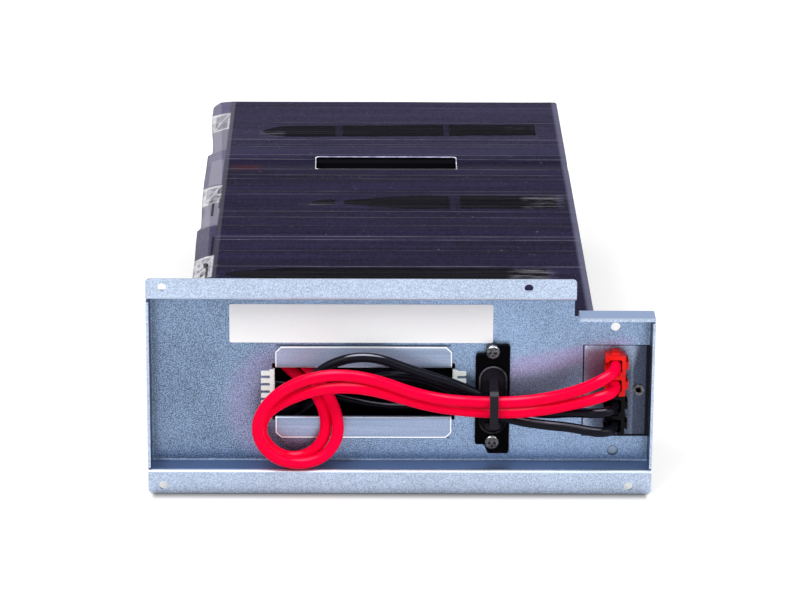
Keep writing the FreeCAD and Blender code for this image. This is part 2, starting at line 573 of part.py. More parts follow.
# ---------------------------------------------------------------- connector plate
def connector_plate():
    """The plate behind the web that holds the stacked connectors."""
    outline = rectangle(PLATE_CUT_LEFT_X - PLATE_OVERLAP, HALF_PANEL - PLATE_END_GAP,
                        PLATE_CUT_LOW_Z - PLATE_LOW_OVERLAP, PLATE_CUT_HIGH_Z + PLATE_OVERLAP)
    plate = plate_xz(outline, SHEET, WEB_BACK, SHEET)
    stack_high = CONNECTOR_LOW_Z + len(CONNECTOR_NAMES) * CONNECTOR_PITCH
    half = CONNECTOR_WIDTH / 2 + CONNECTOR_FIT
    opening = block((CONNECTOR_X - half, CONNECTOR_X + half), (WEB_DEPTH, PLATE_BACK + PAST),
                    (CONNECTOR_LOW_Z - CONNECTOR_FIT, stack_high + CONNECTOR_FIT))
    half_tip = DOVETAIL_TIP / 2 + DOVETAIL_FIT
    top_notch = block((CONNECTOR_X - half_tip, CONNECTOR_X + half_tip), (WEB_DEPTH, PLATE_BACK + PAST),
                      (stack_high, stack_high + DOVETAIL_HEIGHT + DOVETAIL_FIT))
    plate = plate.cut(opening).cut(top_notch)
    for index in range(len(CONNECTOR_NAMES)):
        middle_z = CONNECTOR_LOW_Z + (index + 0.5) * CONNECTOR_PITCH
        plate = plate.cut(block((CONNECTOR_X, CONNECTOR_X + half + DOVETAIL_HEIGHT + DOVETAIL_FIT),
                                (WEB_DEPTH, PLATE_BACK + PAST), (middle_z - half_tip, middle_z + half_tip)))
    return plate.cut(rod_y(RIVET_X, RIVET_Z, RIVET_SHANK_DIAMETER, WEB_DEPTH, PLATE_BACK + PAST))


def plate_rivet():
    """The hollow rivet in the connector plate."""
    front_head = rod_y(RIVET_X, RIVET_Z, RIVET_HEAD_DIAMETER, WEB_BACK - RIVET_HEAD_HEIGHT, WEB_BACK)
    back_head = rod_y(RIVET_X, RIVET_Z, RIVET_HEAD_DIAMETER, PLATE_BACK, PLATE_BACK + RIVET_HEAD_HEIGHT)
    shank = rod_y(RIVET_X, RIVET_Z, RIVET_SHANK_DIAMETER, WEB_BACK, PLATE_BACK)
    rivet = front_head.fuse(shank).fuse(back_head)
    return rivet.cut(rod_y(RIVET_X, RIVET_Z, RIVET_BORE_DIAMETER, WEB_DEPTH, PLATE_BACK + PAST))


# ---------------------------------------------------------------- connectors
def dovetail(centre, outward, neck, tip, height, front, back):
    """A dovetail bar along Y that grows wider away from its root."""
    side = Vector(-outward.z, 0, outward.x)
    root = centre - outward * CONNECTOR_FIT
    crown = centre + outward * height
    corners = [root - side * (neck / 2), root + side * (neck / 2),
               crown + side * (tip / 2), crown - side * (tip / 2)]
    for corner in corners:
        corner.y = front
    return prism(corners, [0, 0, 0, 0], Vector(0, back - front, 0))


def connector_housing(index):
    """One housing: wire mouth in front, mating mouth behind, ribs and grooves on its sides."""
    low = CONNECTOR_LOW_Z + index * CONNECTOR_PITCH
    high = low + CONNECTOR_PITCH
    middle_z = (low + high) / 2
    left = CONNECTOR_X - CONNECTOR_WIDTH / 2
    right = CONNECTOR_X + CONNECTOR_WIDTH / 2
    back = CONNECTOR_FRONT + CONNECTOR_LENGTH
    body = plate_xz(rectangle(left, right, low, high), CONNECTOR_EDGE, CONNECTOR_FRONT, CONNECTOR_LENGTH)
    rib_front = CONNECTOR_FRONT + DOVETAIL_SETBACK
    up = Vector(0, 0, 1)
    across = Vector(1, 0, 0)
    body = body.fuse(dovetail(Vector(CONNECTOR_X, 0, high), up, DOVETAIL_NECK, DOVETAIL_TIP,
                              DOVETAIL_HEIGHT, rib_front, back))
    body = body.fuse(dovetail(Vector(right, 0, middle_z), across, DOVETAIL_NECK, DOVETAIL_TIP,
                              DOVETAIL_HEIGHT, rib_front, back))
    groove_neck = DOVETAIL_NECK + 2 * DOVETAIL_FIT
    groove_tip = DOVETAIL_TIP + 2 * DOVETAIL_FIT
    groove_height = DOVETAIL_HEIGHT + DOVETAIL_FIT
    for centre, outward in ((Vector(CONNECTOR_X, 0, low), up), (Vector(left, 0, middle_z), across)):
        body = body.cut(dovetail(centre, outward, groove_neck, groove_tip, groove_height,
                                 CONNECTOR_FRONT - PAST, back + PAST))
    half_wire = WIRE_MOUTH / 2
    wire_mouth = plate_xz(
        rectangle(CONNECTOR_X - half_wire, CONNECTOR_X + half_wire,
                  middle_z - half_wire, middle_z + half_wire),
        WIRE_MOUTH_CORNER, CONNECTOR_FRONT, WIRE_MOUTH_DEPTH)
    half_mating = MATING_MOUTH / 2
    # the mating mouth keeps a wall on the sides that carry a groove
    mating_left = left + groove_height + CONNECTOR_EDGE
    mating_low = low + groove_height + CONNECTOR_EDGE
    mating_mouth = plate_xz(
        rectangle(mating_left, CONNECTOR_X + half_mating, mating_low, middle_z + half_mating),
        CONNECTOR_EDGE, back - MATING_MOUTH_DEPTH, MATING_MOUTH_DEPTH)
    slot = block((CONNECTOR_X - CONTACT_TONGUE_WIDTH / 2, CONNECTOR_X + CONTACT_TONGUE_WIDTH / 2),
                 (CONNECTOR_FRONT, back),
                 (middle_z - CONTACT_TONGUE_THICKNESS / 2, middle_z + CONTACT_TONGUE_THICKNESS / 2))
    return body.cut(wire_mouth).cut(mating_mouth).cut(slot)


def connector_contact(index):
    """The silvered contact of one housing: a crimp barrel and a tongue."""
    middle_z = CONNECTOR_LOW_Z + (index + 0.5) * CONNECTOR_PITCH
    start = CONNECTOR_FRONT + CONTACT_BARREL_START
    barrel_end = CONNECTOR_FRONT + WIRE_MOUTH_DEPTH
    barrel = rod_y(CONNECTOR_X, middle_z, CONTACT_BARREL_DIAMETER, start, barrel_end)
    tongue_end = CONNECTOR_FRONT + CONNECTOR_LENGTH - CONTACT_TONGUE_TIP_GAP
    half = CONTACT_TONGUE_WIDTH / 2
    outline = rectangle(CONNECTOR_X - half, CONNECTOR_X + half, barrel_end, tongue_end)
    corners = [Vector(x, y, middle_z - CONTACT_TONGUE_THICKNESS / 2) for x, y in outline]
    tongue = prism(corners, [0, 0, half / 2, half / 2], Vector(0, 0, CONTACT_TONGUE_THICKNESS))
    return barrel.fuse(tongue)


# ---------------------------------------------------------------- cable clamp
def stadium(centre_x, low_z, width, height, front, thickness):
    """A plate with two round ends."""
    outline = rectangle(centre_x - width / 2, centre_x + width / 2, low_z, low_z + height)
    return plate_xz(outline, width / 2, front, thickness)


def clamp_base():
    """The moulded base of the clamp: a notched plate with a raised, dished boss."""
    left = CLAMP_LEFT_X
    right = left + CLAMP_WIDTH
    low = CLAMP_LOW_Z
    high = low + CLAMP_HEIGHT
    notch_x = left + CLAMP_NOTCH_WIDTH
    slope_x = notch_x - CLAMP_NOTCH_SLOPE
    notch_low = low + CLAMP_NOTCH_HEIGHT
    notch_high = high - CLAMP_NOTCH_HEIGHT
    outline = [
        (right, low), (right, high), (notch_x, high), (slope_x, notch_high), (left, notch_high),
        (left, notch_low), (slope_x, notch_low), (notch_x, low),
    ]
    base = plate_xz(outline, CLAMP_CORNER, CLAMP_FRONT, CLAMP_THICKNESS)
    boss = stadium(BOSS_X, BOSS_LOW_Z, BOSS_WIDTH, BOSS_HEIGHT, CLAMP_FRONT - BOSS_PROUD, BOSS_PROUD)
    dish = stadium(BOSS_X, BOSS_LOW_Z + BOSS_RIM, BOSS_WIDTH - 2 * BOSS_RIM, BOSS_HEIGHT - 2 * BOSS_RIM,
                   CLAMP_FRONT - BOSS_PROUD, BOSS_DISH)
    base = base.fuse(boss).cut(dish)
    for z in (SCREW_LOW_Z, SCREW_HIGH_Z):
        base = base.cut(rod_y(SCREW_X, z, SCREW_HOLE_DIAMETER, 0, WEB_DEPTH + PAST))
    return base.removeSplitter()


def clamp_screw(z):
    """A pan-head screw with a cross recess, head to the front."""
    crown_y = CLAMP_FRONT - SCREW_HEAD_HEIGHT
    head = rod_y(SCREW_X, z, SCREW_HEAD_DIAMETER, crown_y, CLAMP_FRONT)
    rim = [edge for edge in head.Edges if abs(edge.CenterOfMass.y - crown_y) < NEAR]
    head = head.makeFillet(SCREW_HEAD_ROUND, rim)
    cross = block((SCREW_X - CROSS_SPAN / 2, SCREW_X + CROSS_SPAN / 2), (crown_y, crown_y + CROSS_DEPTH),
                  (z - CROSS_WIDTH / 2, z + CROSS_WIDTH / 2))
    upright = block((SCREW_X - CROSS_WIDTH / 2, SCREW_X + CROSS_WIDTH / 2), (crown_y, crown_y + CROSS_DEPTH),
                    (z - CROSS_SPAN / 2, z + CROSS_SPAN / 2))
    shank = rod_y(SCREW_X, z, SCREW_DIAMETER, CLAMP_FRONT, CLAMP_FRONT + SCREW_LENGTH)
    return head.cut(cross).cut(upright).fuse(shank).removeSplitter()


def clamp_strap():
    """The band over the leads, with its flared foot on the boss."""
    seat = CLAMP_FRONT - BOSS_PROUD + BOSS_DISH
    half = STRAP_WIDTH / 2
    path = [(seat, STRAP_HIGH_Z), (-STRAP_PROUD, STRAP_HIGH_Z - STRAP_DROOP),
            (-STRAP_PROUD, STRAP_LOW_Z + STRAP_DROOP), (seat, STRAP_LOW_Z)]
    band = folded_strip(path, (STRAP_X - half, STRAP_X + half), STRAP_THICKNESS, STRAP_BEND)
    keep = block((STRAP_X - STRAP_WIDTH, STRAP_X + STRAP_WIDTH), (-2 * STRAP_PROUD, seat),
                 (0, PANEL_HEIGHT))
    half_foot = STRAP_FOOT_WIDTH / 2
    foot_high = STRAP_LOW_Z + STRAP_THICKNESS
    foot = plate_xz(rectangle(STRAP_X - half_foot, STRAP_X + half_foot,
                              foot_high - STRAP_FOOT_HEIGHT, foot_high),
                    STRAP_THICKNESS, seat - STRAP_FOOT_THICKNESS, STRAP_FOOT_THICKNESS)
    return band.common(keep).fuse(foot).removeSplitter()


# ---------------------------------------------------------------- batteries
def battery_case():
    """The case: rounded corners, a chamfered bottom and a shallow panel on each long side."""
    half = HALF_LENGTH
    case_height = BATTERY_HEIGHT - LID_HEIGHT
    case = plate_xy(rectangle(-half, half, 0, BATTERY_WIDTH), CASE_CORNER, 0, case_height)
    bottom = [edge for edge in case.Edges if abs(edge.CenterOfMass.z) < NEAR]
    case = case.makeChamfer(CASE_BOTTOM_EDGE, bottom)
    outline = rectangle(-half + CASE_PANEL_MARGIN, half - CASE_PANEL_MARGIN,
                        CASE_PANEL_MARGIN, case_height - CASE_PANEL_MARGIN)
    for front in (0, BATTERY_WIDTH - CASE_PANEL_DEPTH):
        case = case.cut(plate_xz(outline, CASE_PANEL_CORNER, front, CASE_PANEL_DEPTH))
    return case


def battery_lid():
    """The lid: a step in from the case, a pocket round each blade and a seat for the vent cover."""
    half = HALF_LENGTH - LID_INSET
    low = BATTERY_HEIGHT - LID_HEIGHT
    lid = plate_xy(rectangle(-half, half, LID_INSET, BATTERY_WIDTH - LID_INSET), CASE_CORNER, low, LID_HEIGHT)
    top = [edge for edge in lid.Edges if abs(edge.CenterOfMass.z - BATTERY_HEIGHT) < NEAR]
    lid = lid.makeChamfer(LID_CHAMFER, top)
    for side in (-1, 1):
        x = side * TERMINAL_X
        outline = rectangle(x - POCKET_LENGTH / 2, x + POCKET_LENGTH / 2,
                            TERMINAL_Y - POCKET_WIDTH / 2, TERMINAL_Y + POCKET_WIDTH / 2)
        lid = lid.cut(plate_xy(outline, POCKET_CORNER, POCKET_FLOOR, POCKET_DEPTH))
    return lid.cut(vent_cover_outline(0, BATTERY_HEIGHT - VENT_COVER_DEPTH, VENT_COVER_DEPTH))


def vent_cover_outline(gap, low_z, thickness):
    """The vent cover's plan, smaller by a gap all round."""
    half_length = VENT_COVER_LENGTH / 2 - gap
    half_width = VENT_COVER_WIDTH / 2 - gap
    middle = BATTERY_WIDTH / 2
    outline = rectangle(-half_length, half_length, middle - half_width, middle + half_width)
    return plate_xy(outline, VENT_COVER_CORNER - gap, low_z, thickness)


def vent_cover():
    """The welded cover over the vents."""
    low = BATTERY_HEIGHT - VENT_COVER_DEPTH
    return vent_cover_outline(VENT_COVER_FIT, low, VENT_COVER_DEPTH + VENT_COVER_PROUD)


def blade_terminal(side):
    """A tinned blade on its foot, at one end of the lid."""
    x = side * TERMINAL_X
    foot = block((x - BLADE_FOOT_LENGTH / 2, x + BLADE_FOOT_LENGTH / 2),
                 (TERMINAL_Y - BLADE_FOOT_WIDTH / 2, TERMINAL_Y + BLADE_FOOT_WIDTH / 2),
                 (POCKET_FLOOR, POCKET_FLOOR + BLADE_FOOT_HEIGHT))
    front = TERMINAL_Y - BLADE_THICKNESS / 2
    half = BLADE_WIDTH / 2
    tip_z = POCKET_FLOOR + BLADE_HEIGHT
    outline = [
        (x - half, POCKET_FLOOR), (x + half, POCKET_FLOOR), (x + half, tip_z - BLADE_TIP),
        (x + half - BLADE_TIP, tip_z), (x - half + BLADE_TIP, tip_z), (x - half, tip_z - BLADE_TIP),
    ]
    blade = plate_xz(outline, 0, front, BLADE_THICKNESS)
    hole = rod_y(x, tip_z - BLADE_HOLE_DROP, BLADE_HOLE_DIAMETER,
                 front - PAST, front + BLADE_THICKNESS + PAST)
    return foot.fuse(blade.cut(hole))


def blade_boot(side, width):
    """The insulated push-on connector over one blade."""
    x = side * TERMINAL_X
    low = BATTERY_HEIGHT + BOOT_LIFT
    outline = rectangle(x - BOOT_LENGTH / 2, x + BOOT_LENGTH / 2,
                        TERMINAL_Y - width / 2, TERMINAL_Y + width / 2)
    boot = plate_xy(outline, 0, low, BOOT_HEIGHT)
    top = [edge for edge in boot.Edges if abs(edge.CenterOfMass.z - low - BOOT_HEIGHT) < NEAR]
    boot = boot.makeFillet(BOOT_CORNER, top)
    tip_z = POCKET_FLOOR + BLADE_HEIGHT
    slot = block((x - BLADE_WIDTH / 2 - BOOT_FIT, x + BLADE_WIDTH / 2 + BOOT_FIT),
                 (TERMINAL_Y - BLADE_THICKNESS / 2 - BOOT_FIT, TERMINAL_Y + BLADE_THICKNESS / 2 + BOOT_FIT),
                 (low, tip_z + BOOT_FIT))
    return boot.cut(slot)


def lay_down(shape, front, lid_faces_front):
    """Turn a battery's piece from its upright frame into its place in the row."""
    placed = shape.copy()
    origin = Vector(0, 0, 0)
    axis = Vector(1, 0, 0)
    if lid_faces_front:
        placed.rotate(origin, axis, 90)
        placed.translate(Vector(0, front + BATTERY_HEIGHT, PACK_BOTTOM))
    else:
        placed.rotate(origin, axis, -90)
        placed.translate(Vector(0, front, PACK_TOP))
    return placed


def battery(number, front, lid_faces_front, positive_side, double_boot_side):
    """All the nodes of one battery and of what is pushed on its blades."""
    pieces = {
        "case": battery_case(),
        "lid": battery_lid(),
        "vent_cover": vent_cover(),
    }
    for name, side in (("positive", positive_side), ("negative", -positive_side)):
        width = BOOT_DOUBLE_WIDTH if side == double_boot_side else BOOT_WIDTH
        pieces["terminal_" + name] = blade_terminal(side)
        pieces["boot_" + name] = blade_boot(side, width)
    prefix = "battery_%d_" % number
    return {prefix + name: lay_down(shape, front, lid_faces_front) for name, shape in pieces.items()}


# ---------------------------------------------------------------- film, pads and tray
def film_ring(outward):
    """The film's section as a solid bar, its faces moved outward by some amount."""
    corners = [
        (FILM_FRONT + FILM_THICKNESS - outward, FILM_BOTTOM + FILM_THICKNESS - outward),
        (FILM_BACK - FILM_THICKNESS + outward, FILM_BOTTOM + FILM_THICKNESS - outward),
        (FILM_BACK - FILM_THICKNESS + outward, FILM_TOP - FILM_THICKNESS + outward),
        (FILM_FRONT + FILM_THICKNESS - outward, FILM_TOP - FILM_THICKNESS + outward),
    ]
    left = -HALF_LENGTH - FILM_OVERHANG_LEFT
    right = HALF_LENGTH + FILM_OVERHANG_RIGHT
    corners = [Vector(left, y, z) for y, z in corners]
    return prism(corners, [FILM_CORNER + outward] * 4, Vector(right - left, 0, 0))


def shrink_film():
    """The sleeve round the three batteries, open at both ends, with its slot and its cable exit."""
    film = film_ring(FILM_THICKNESS).cut(film_ring(0))
    slot = plate_xy(rectangle(FILM_SLOT_LEFT_X, FILM_SLOT_RIGHT_X, FILM_SLOT_NEAR_Y,
                              FILM_SLOT_NEAR_Y + FILM_SLOT_WIDTH),
                    FILM_CORNER, PACK_TOP - FILM_CORNER, 2 * FILM_CORNER)
    exit_outline = rectangle(WINDOW_LEFT_X - FILM_EXIT_MARGIN, WINDOW_RIGHT_X + FILM_EXIT_MARGIN,
                             WINDOW_LOW_Z - FILM_EXIT_MARGIN, WINDOW_HIGH_Z + FILM_EXIT_MARGIN)
    cable_exit = plate_xz(exit_outline, FILM_CORNER, FILM_FRONT - PAST, 2 * PAST)
    return film.cut(slot).cut(cable_exit)


def battery_pad():
    """The foam pad between the bottoms of the first two batteries."""
    low_y = BATTERY_2_FRONT - PAD_THICKNESS
    outline = rectangle(-HALF_LENGTH + PAD_MARGIN, HALF_LENGTH - PAD_MARGIN,
                        PACK_BOTTOM + PAD_MARGIN, PACK_TOP - PAD_MARGIN)
    return plate_xz(outline, 0, low_y, PAD_THICKNESS)


def tray_liner():
    """The foam sheet on the tray that the film and its batteries rest on."""
    half = TRAY_HALF_WIDTH - LINER_INSET
    outline = rectangle(-half, half, WEB_BACK + SHEET + LINER_INSET, TRAY_BACK - SHEET - LINER_INSET)
    return plate_xy(outline, FILM_CORNER, SHEET, LINER_THICKNESS)


def base_tray():
    """The tray under the pack: welded up behind the web, turned up behind the last battery."""
    path = [(WEB_BACK, TRAY_UPSTAND_HEIGHT), (WEB_BACK, 0), (TRAY_BACK, 0), (TRAY_BACK, TRAY_REAR_HEIGHT)]
    tray = folded_strip(path, (-TRAY_HALF_WIDTH, TRAY_HALF_WIDTH), SHEET, BEND_RADIUS)
    for side in (-1, 1):
        span = sorted((side * TRAY_UPSTAND_HALF_WIDTH, side * (TRAY_HALF_WIDTH + PAST)))
        corner = block(span, (WEB_BACK - PAST, WEB_BACK + SHEET + BEND_RADIUS), (-PAST, PANEL_HEIGHT))
        tray = tray.cut(corner)
    return tray


# ---------------------------------------------------------------- wiring
def route_wire(points):
    """Straight runs joined by tangent arcs, each as large as its two runs allow."""
    corners = [Vector(*point) for point in points]
    edges = []
    radii = []
    start = corners[0]
    for i in range(1, len(corners) - 1):
        before = corners[i - 1] - corners[i]
        after = corners[i + 1] - corners[i]
        turn = math.pi - before.getAngle(after)
        reach = ARC_SHARE * min(before.Length, after.Length)
        radius = reach / math.tan(turn / 2)
        before.normalize()
        after.normalize()
        inward = (before + after).normalize()
        centre = corners[i] + inward * (radius / math.cos(turn / 2))
        arc_start = corners[i] + before * reach
        arc_end = corners[i] + after * reach
        edges.append(Part.LineSegment(start, arc_start).toShape())
        edges.append(Part.Arc(arc_start, centre - inward * radius, arc_end).toShape())
        radii.append(radius)
        start = arc_end
    edges.append(Part.LineSegment(start, corners[-1]).toShape())
    return Part.Wire(edges), radii


def lead(name, points, diameter):
    """The tube of one lead, with a line that reports its length, bends and volume."""
    path, radii = route_wire(points)
    direction = Vector(*points[1]) - Vector(*points[0])
    section = Part.Wire([Part.Circle(Vector(*points[0]), direction, diameter / 2).toShape()])
    tube = path.makePipeShell([section], True, False)
    expected = path.Length * math.pi * diameter ** 2 / 4
    print("%s length %.1f, radii %.1f to %.1f, volume %.1f of %.1f" % (
        name, path.Length, min(radii), max(radii), tube.Volume, expected))
    return tube


def lead_splice():
    """The sleeve that joins the feed lead to the two black leads."""
    low_z = SPLICE_Z - SPLICE_HEIGHT / 2
    low_y = SPLICE_Y - SPLICE_THICKNESS / 2
    corners = [
        Vector(SPLICE_LEFT_X, low_y, low_z),
        Vector(SPLICE_LEFT_X, low_y + SPLICE_THICKNESS, low_z),
        Vector(SPLICE_LEFT_X, low_y + SPLICE_THICKNESS, low_z + SPLICE_HEIGHT),
        Vector(SPLICE_LEFT_X, low_y, low_z + SPLICE_HEIGHT),
    ]
    return prism(corners, [SPLICE_THICKNESS / 2] * 4, Vector(SPLICE_LENGTH, 0, 0))


# ---------------------------------------------------------------- assembly
def build_nodes():
    """Every node of the cartridge by name."""
    nodes = {
        "front_panel": front_panel(),
        "base_tray": base_tray(),
        "window_edging_left": window_edging(WINDOW_LEFT_X, 1),
        "window_edging_right": window_edging(WINDOW_RIGHT_X, -1),
        "blank_label": blank_label(),
        "connector_plate": connector_plate(),
        "plate_rivet": plate_rivet(),
        "clamp_base": clamp_base(),
        "clamp_strap": clamp_strap(),
        "clamp_screw_upper": clamp_screw(SCREW_HIGH_Z),
        "clamp_screw_lower": clamp_screw(SCREW_LOW_Z),
        "shrink_film": shrink_film(),
        "battery_pad": battery_pad(),
        "tray_liner": tray_liner(),
        "lead_splice": lead_splice(),
    }
    for index, name in enumerate(CONNECTOR_NAMES):
        nodes["connector_housing_" + name] = connector_housing(index)
        nodes["connector_contact_" + name] = connector_contact(index)
    nodes.update(battery(1, BATTERY_1_FRONT, True, -1, -1))
    nodes.update(battery(2, BATTERY_2_FRONT, False, 1, None))
    nodes.update(battery(3, BATTERY_3_FRONT, True, -1, None))
    wiring = (
        ("lead_red_1", RED_LEAD_1_ROUTE, RED_LEAD_DIAMETER),
        ("lead_red_2", RED_LEAD_2_ROUTE, RED_LEAD_DIAMETER),
        ("lead_black_1", BLACK_LEAD_1_ROUTE, BLACK_LEAD_DIAMETER),
        ("lead_black_2", BLACK_LEAD_2_ROUTE, BLACK_LEAD_DIAMETER),
        ("long_jumper", LONG_JUMPER_ROUTE, INNER_LEAD_DIAMETER),
        ("short_jumper", SHORT_JUMPER_ROUTE, INNER_LEAD_DIAMETER),
        ("feed_lead", FEED_LEAD_ROUTE, INNER_LEAD_DIAMETER),
    )
    for name, points, diameter in wiring:
        nodes[name] = lead(name, points, diameter)
    return nodes


def main():
    """Build every node, move it to the cartridge's origin and write it."""
    os.makedirs("parts", exist_ok=True)
    for name, shape in build_nodes().items():
        shape.translate(Vector(0, -MIDDLE_Y, 0))
        shape.exportStep("parts/%s.step" % name)


main()
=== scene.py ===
"""Looks of a battery cartridge: finishes for its solids, its shrink film, its leads and its studio.

All places are in metres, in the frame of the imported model: X to the right seen from the front
panel, Y from the panel to the rear, Z up. "Behind the lips" is from the panel's foremost face.
"""

import fnmatch
import math
from functools import reduce

import bmesh
import bpy
from bpy.props import FloatProperty, FloatVectorProperty, PointerProperty
from mathutils import Matrix, Vector, noise


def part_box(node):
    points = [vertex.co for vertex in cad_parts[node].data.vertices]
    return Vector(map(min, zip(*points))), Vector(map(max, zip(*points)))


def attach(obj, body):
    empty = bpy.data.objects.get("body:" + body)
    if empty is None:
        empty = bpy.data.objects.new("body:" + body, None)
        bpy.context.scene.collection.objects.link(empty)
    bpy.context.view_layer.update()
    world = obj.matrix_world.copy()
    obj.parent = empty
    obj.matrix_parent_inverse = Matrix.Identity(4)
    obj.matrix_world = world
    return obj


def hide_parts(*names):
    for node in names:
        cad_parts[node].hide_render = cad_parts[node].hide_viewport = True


bl_info = {
    "name": "Battery Cartridge",
    "version": (1, 0, 0),
    "blender": (4, 5, 0),
    "location": "View3D > Sidebar > Cartridge",
    "description": "Builds the finishes, film, leads and studio of a battery cartridge",
    "category": "Add Mesh",
}

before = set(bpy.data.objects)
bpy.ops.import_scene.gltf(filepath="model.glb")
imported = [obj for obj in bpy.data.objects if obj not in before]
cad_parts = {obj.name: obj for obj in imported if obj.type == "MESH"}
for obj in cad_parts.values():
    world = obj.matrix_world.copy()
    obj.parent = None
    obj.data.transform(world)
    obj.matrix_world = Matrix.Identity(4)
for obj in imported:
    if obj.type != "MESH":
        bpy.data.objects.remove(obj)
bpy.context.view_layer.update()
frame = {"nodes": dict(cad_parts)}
NODES = frame["nodes"]
BODY = "root"

LIPS_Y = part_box("front_panel")[0].y
FILM_LOW, FILM_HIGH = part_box("shrink_film")
CASE_LOW, CASE_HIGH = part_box("battery_1_case")

# the front panel: X from its middle, Y behind the lips, Z; a middle is X and Z
WEB_HALF_WIDTH = 0.0980
WEB_Z = (0.0098, 0.0801)
FLAPS_Y = 0.0096
WEB_Y = 0.0104
WINDOW_MIDDLE = (-0.01445, 0.0387)
WINDOW_HALF_WIDTH = 0.03465
FLAP_REACH = 0.0190  # from the window's middle to the flaps' outer edge
LOOP_MIDDLE = (-0.0420, 0.0330)  # the loop of the red leads
BLIND_HOLE = (0.0842, 0.0141)  # under the connectors
BOSS_MIDDLE = (0.0364, 0.0362)  # the raised boss of the clamp
BOSS_HALF_STRAIGHT = 0.0086
GLINT_DIRECTION = (0.0, -0.60, 0.80)  # where rounded surfaces shine
RIVET_PLACE = (0.0938, 0.0126, 0.0394)  # X, Y behind the lips, Z

FLOOR_HALF = 4.0
FLOOR_Z = -0.0004

# openings of the film
SLOT_X = (-0.0357, 0.0269)
SLOT_Y = (LIPS_Y + 0.2148, LIPS_Y + 0.2332)
SLOT_CORNER = 0.0016
EXIT_X = (-0.0544, 0.0255)  # where the leads leave the film
EXIT_Z = (0.0246, 0.0528)
CURL_RADIUS = 0.0011  # of the film's right edge

# Strips where the film clings to the case under it: middle behind the lips, slope, half width,
# left end, right end, taper of the left end, wear of the right end.
CLING_STRIPS = (
    (0.2747, 0.033, 0.0092, -0.0600, 0.0640, 0.014, 0.10),
    (0.1657, 0.018, 0.0096, -0.0226, 0.0688, 0.034, 0.90),
    (0.1652, 0.000, 0.0042, -0.0366, -0.0267, 0.006, 0.10),
    (0.0683, 0.000, 0.0084, -0.0700, 0.0600, 0.030, 1.00),
)
# Breaks across the farther strips: left, right, depth.
CLING_BREAKS = ((-0.0268, -0.0244, 0.35), (0.0227, 0.0243, 0.45))
# Fine pale lines across the pack: place behind the lips, strength.
PALE_LINES = (
    (0.3120, 0.35), (0.2875, 0.45), (0.2603, 0.95), (0.2525, 0.45), (0.2490, 0.45),
    (0.2362, 0.55), (0.2300, 0.80), (0.2145, 0.70), (0.2054, 0.55), (0.1997, 0.45),
    (0.1813, 0.40), (0.1770, 0.45), (0.1526, 0.50), (0.1442, 0.55), (0.1330, 0.30),
    (0.1181, 1.00), (0.1135, 0.75), (0.0990, 0.35), (0.0785, 0.95),
)
# Crumpled patches of the film's free edge, with painted highlights: from and to behind the lips,
# how broken each is.
CRUMPLED_PATCHES = ((0.2770, 0.3030, 0.25), (0.1655, 0.1900, 0.60), (0.0650, 0.0925, 1.00))
# Dark bars on the free edge: X, from and to behind the lips.
DARK_BARS = (
    (-0.0790, 0.1480, 0.1650), (-0.0762, 0.1570, 0.1700), (-0.0783, 0.0650, 0.0780),
    (-0.0772, 0.0930, 0.1180),
)


# ---- sizes and colours
def colour(name, default):
    """A colour that a user can change."""
    return FloatVectorProperty(name=name, description=f"Colour of the {name.lower()}",
                               default=default, subtype="COLOR", size=3, min=0.0, max=1.0)


def length(name, description, default):
    """A length that a user can change."""
    return FloatProperty(name=name, description=description, default=default,
                         unit="LENGTH", min=0.0, precision=5)


def angle(name, description, default):
    """An angle that a user can change."""
    return FloatProperty(name=name, description=description, default=default, subtype="ANGLE")


def power(name, default):
    """The power of a lamp that a user can change."""
    return FloatProperty(name=name, description=f"Power of the {name.lower()}",
                         default=default, unit="POWER")


def amount(name, description, default):
    """A plain number that a user can change."""
    return FloatProperty(name=name, description=description, default=default)


class CartridgeSizes(bpy.types.PropertyGroup):
    """Sizes of the pieces that the solids leave open."""

    red_lead: length("Red lead", "Outside diameter of a red lead", 0.0046)
    black_lead: length("Black lead", "Outside diameter of a black lead", 0.0039)
    film_thickness: length("Film thickness", "Thickness of the shrink film", 0.0003)
    film_drop: length("Film drop", "How far the film's free edge hangs below the top", 0.0022)
    film_crumple: length("Film crumple", "Depth of the crumpled patches of the film", 0.0009)
    film_bead: length("Film bead", "Radius of the bead round the film's slot", 0.00026)


class CartridgeColours(bpy.types.PropertyGroup):
    """Base colours of the finishes."""

    steel: colour("Galvanised sheet", (0.415, 0.495, 0.635))
    # painted shade: the web behind the lips takes this darker colour in place of the sheet's own
    shaded_recess: colour("Web behind the lips", (0.218, 0.305, 0.455))
    plate: colour("Connector plate", (0.460, 0.560, 0.880))
    nickel: colour("Screws and rivet", (0.10, 0.10, 0.11))
    silver: colour("Contacts and blades", (0.80, 0.79, 0.77))
    film: colour("Tinted film", (0.0125, 0.0100, 0.0320))
    film_pale: colour("Crumpled film", (0.62, 0.60, 0.72))
    case: colour("Battery cases", (0.0035, 0.0035, 0.0055))
    lid: colour("Battery lids", (0.004, 0.004, 0.006))
    red_lead: colour("Red leads", (0.98, 0.0, 0.040))
    black_lead: colour("Black leads", (0.005, 0.005, 0.010))
    red_housing: colour("Red connectors", (0.88, 0.012, 0.010))
    black_moulding: colour("Black mouldings", (0.0035, 0.003, 0.0045))
    nylon: colour("Window edging", (0.72, 0.78, 0.74))
    label: colour("Blank label", (0.90, 0.905, 0.92))
    foam: colour("Foam pad", (0.10, 0.10, 0.10))


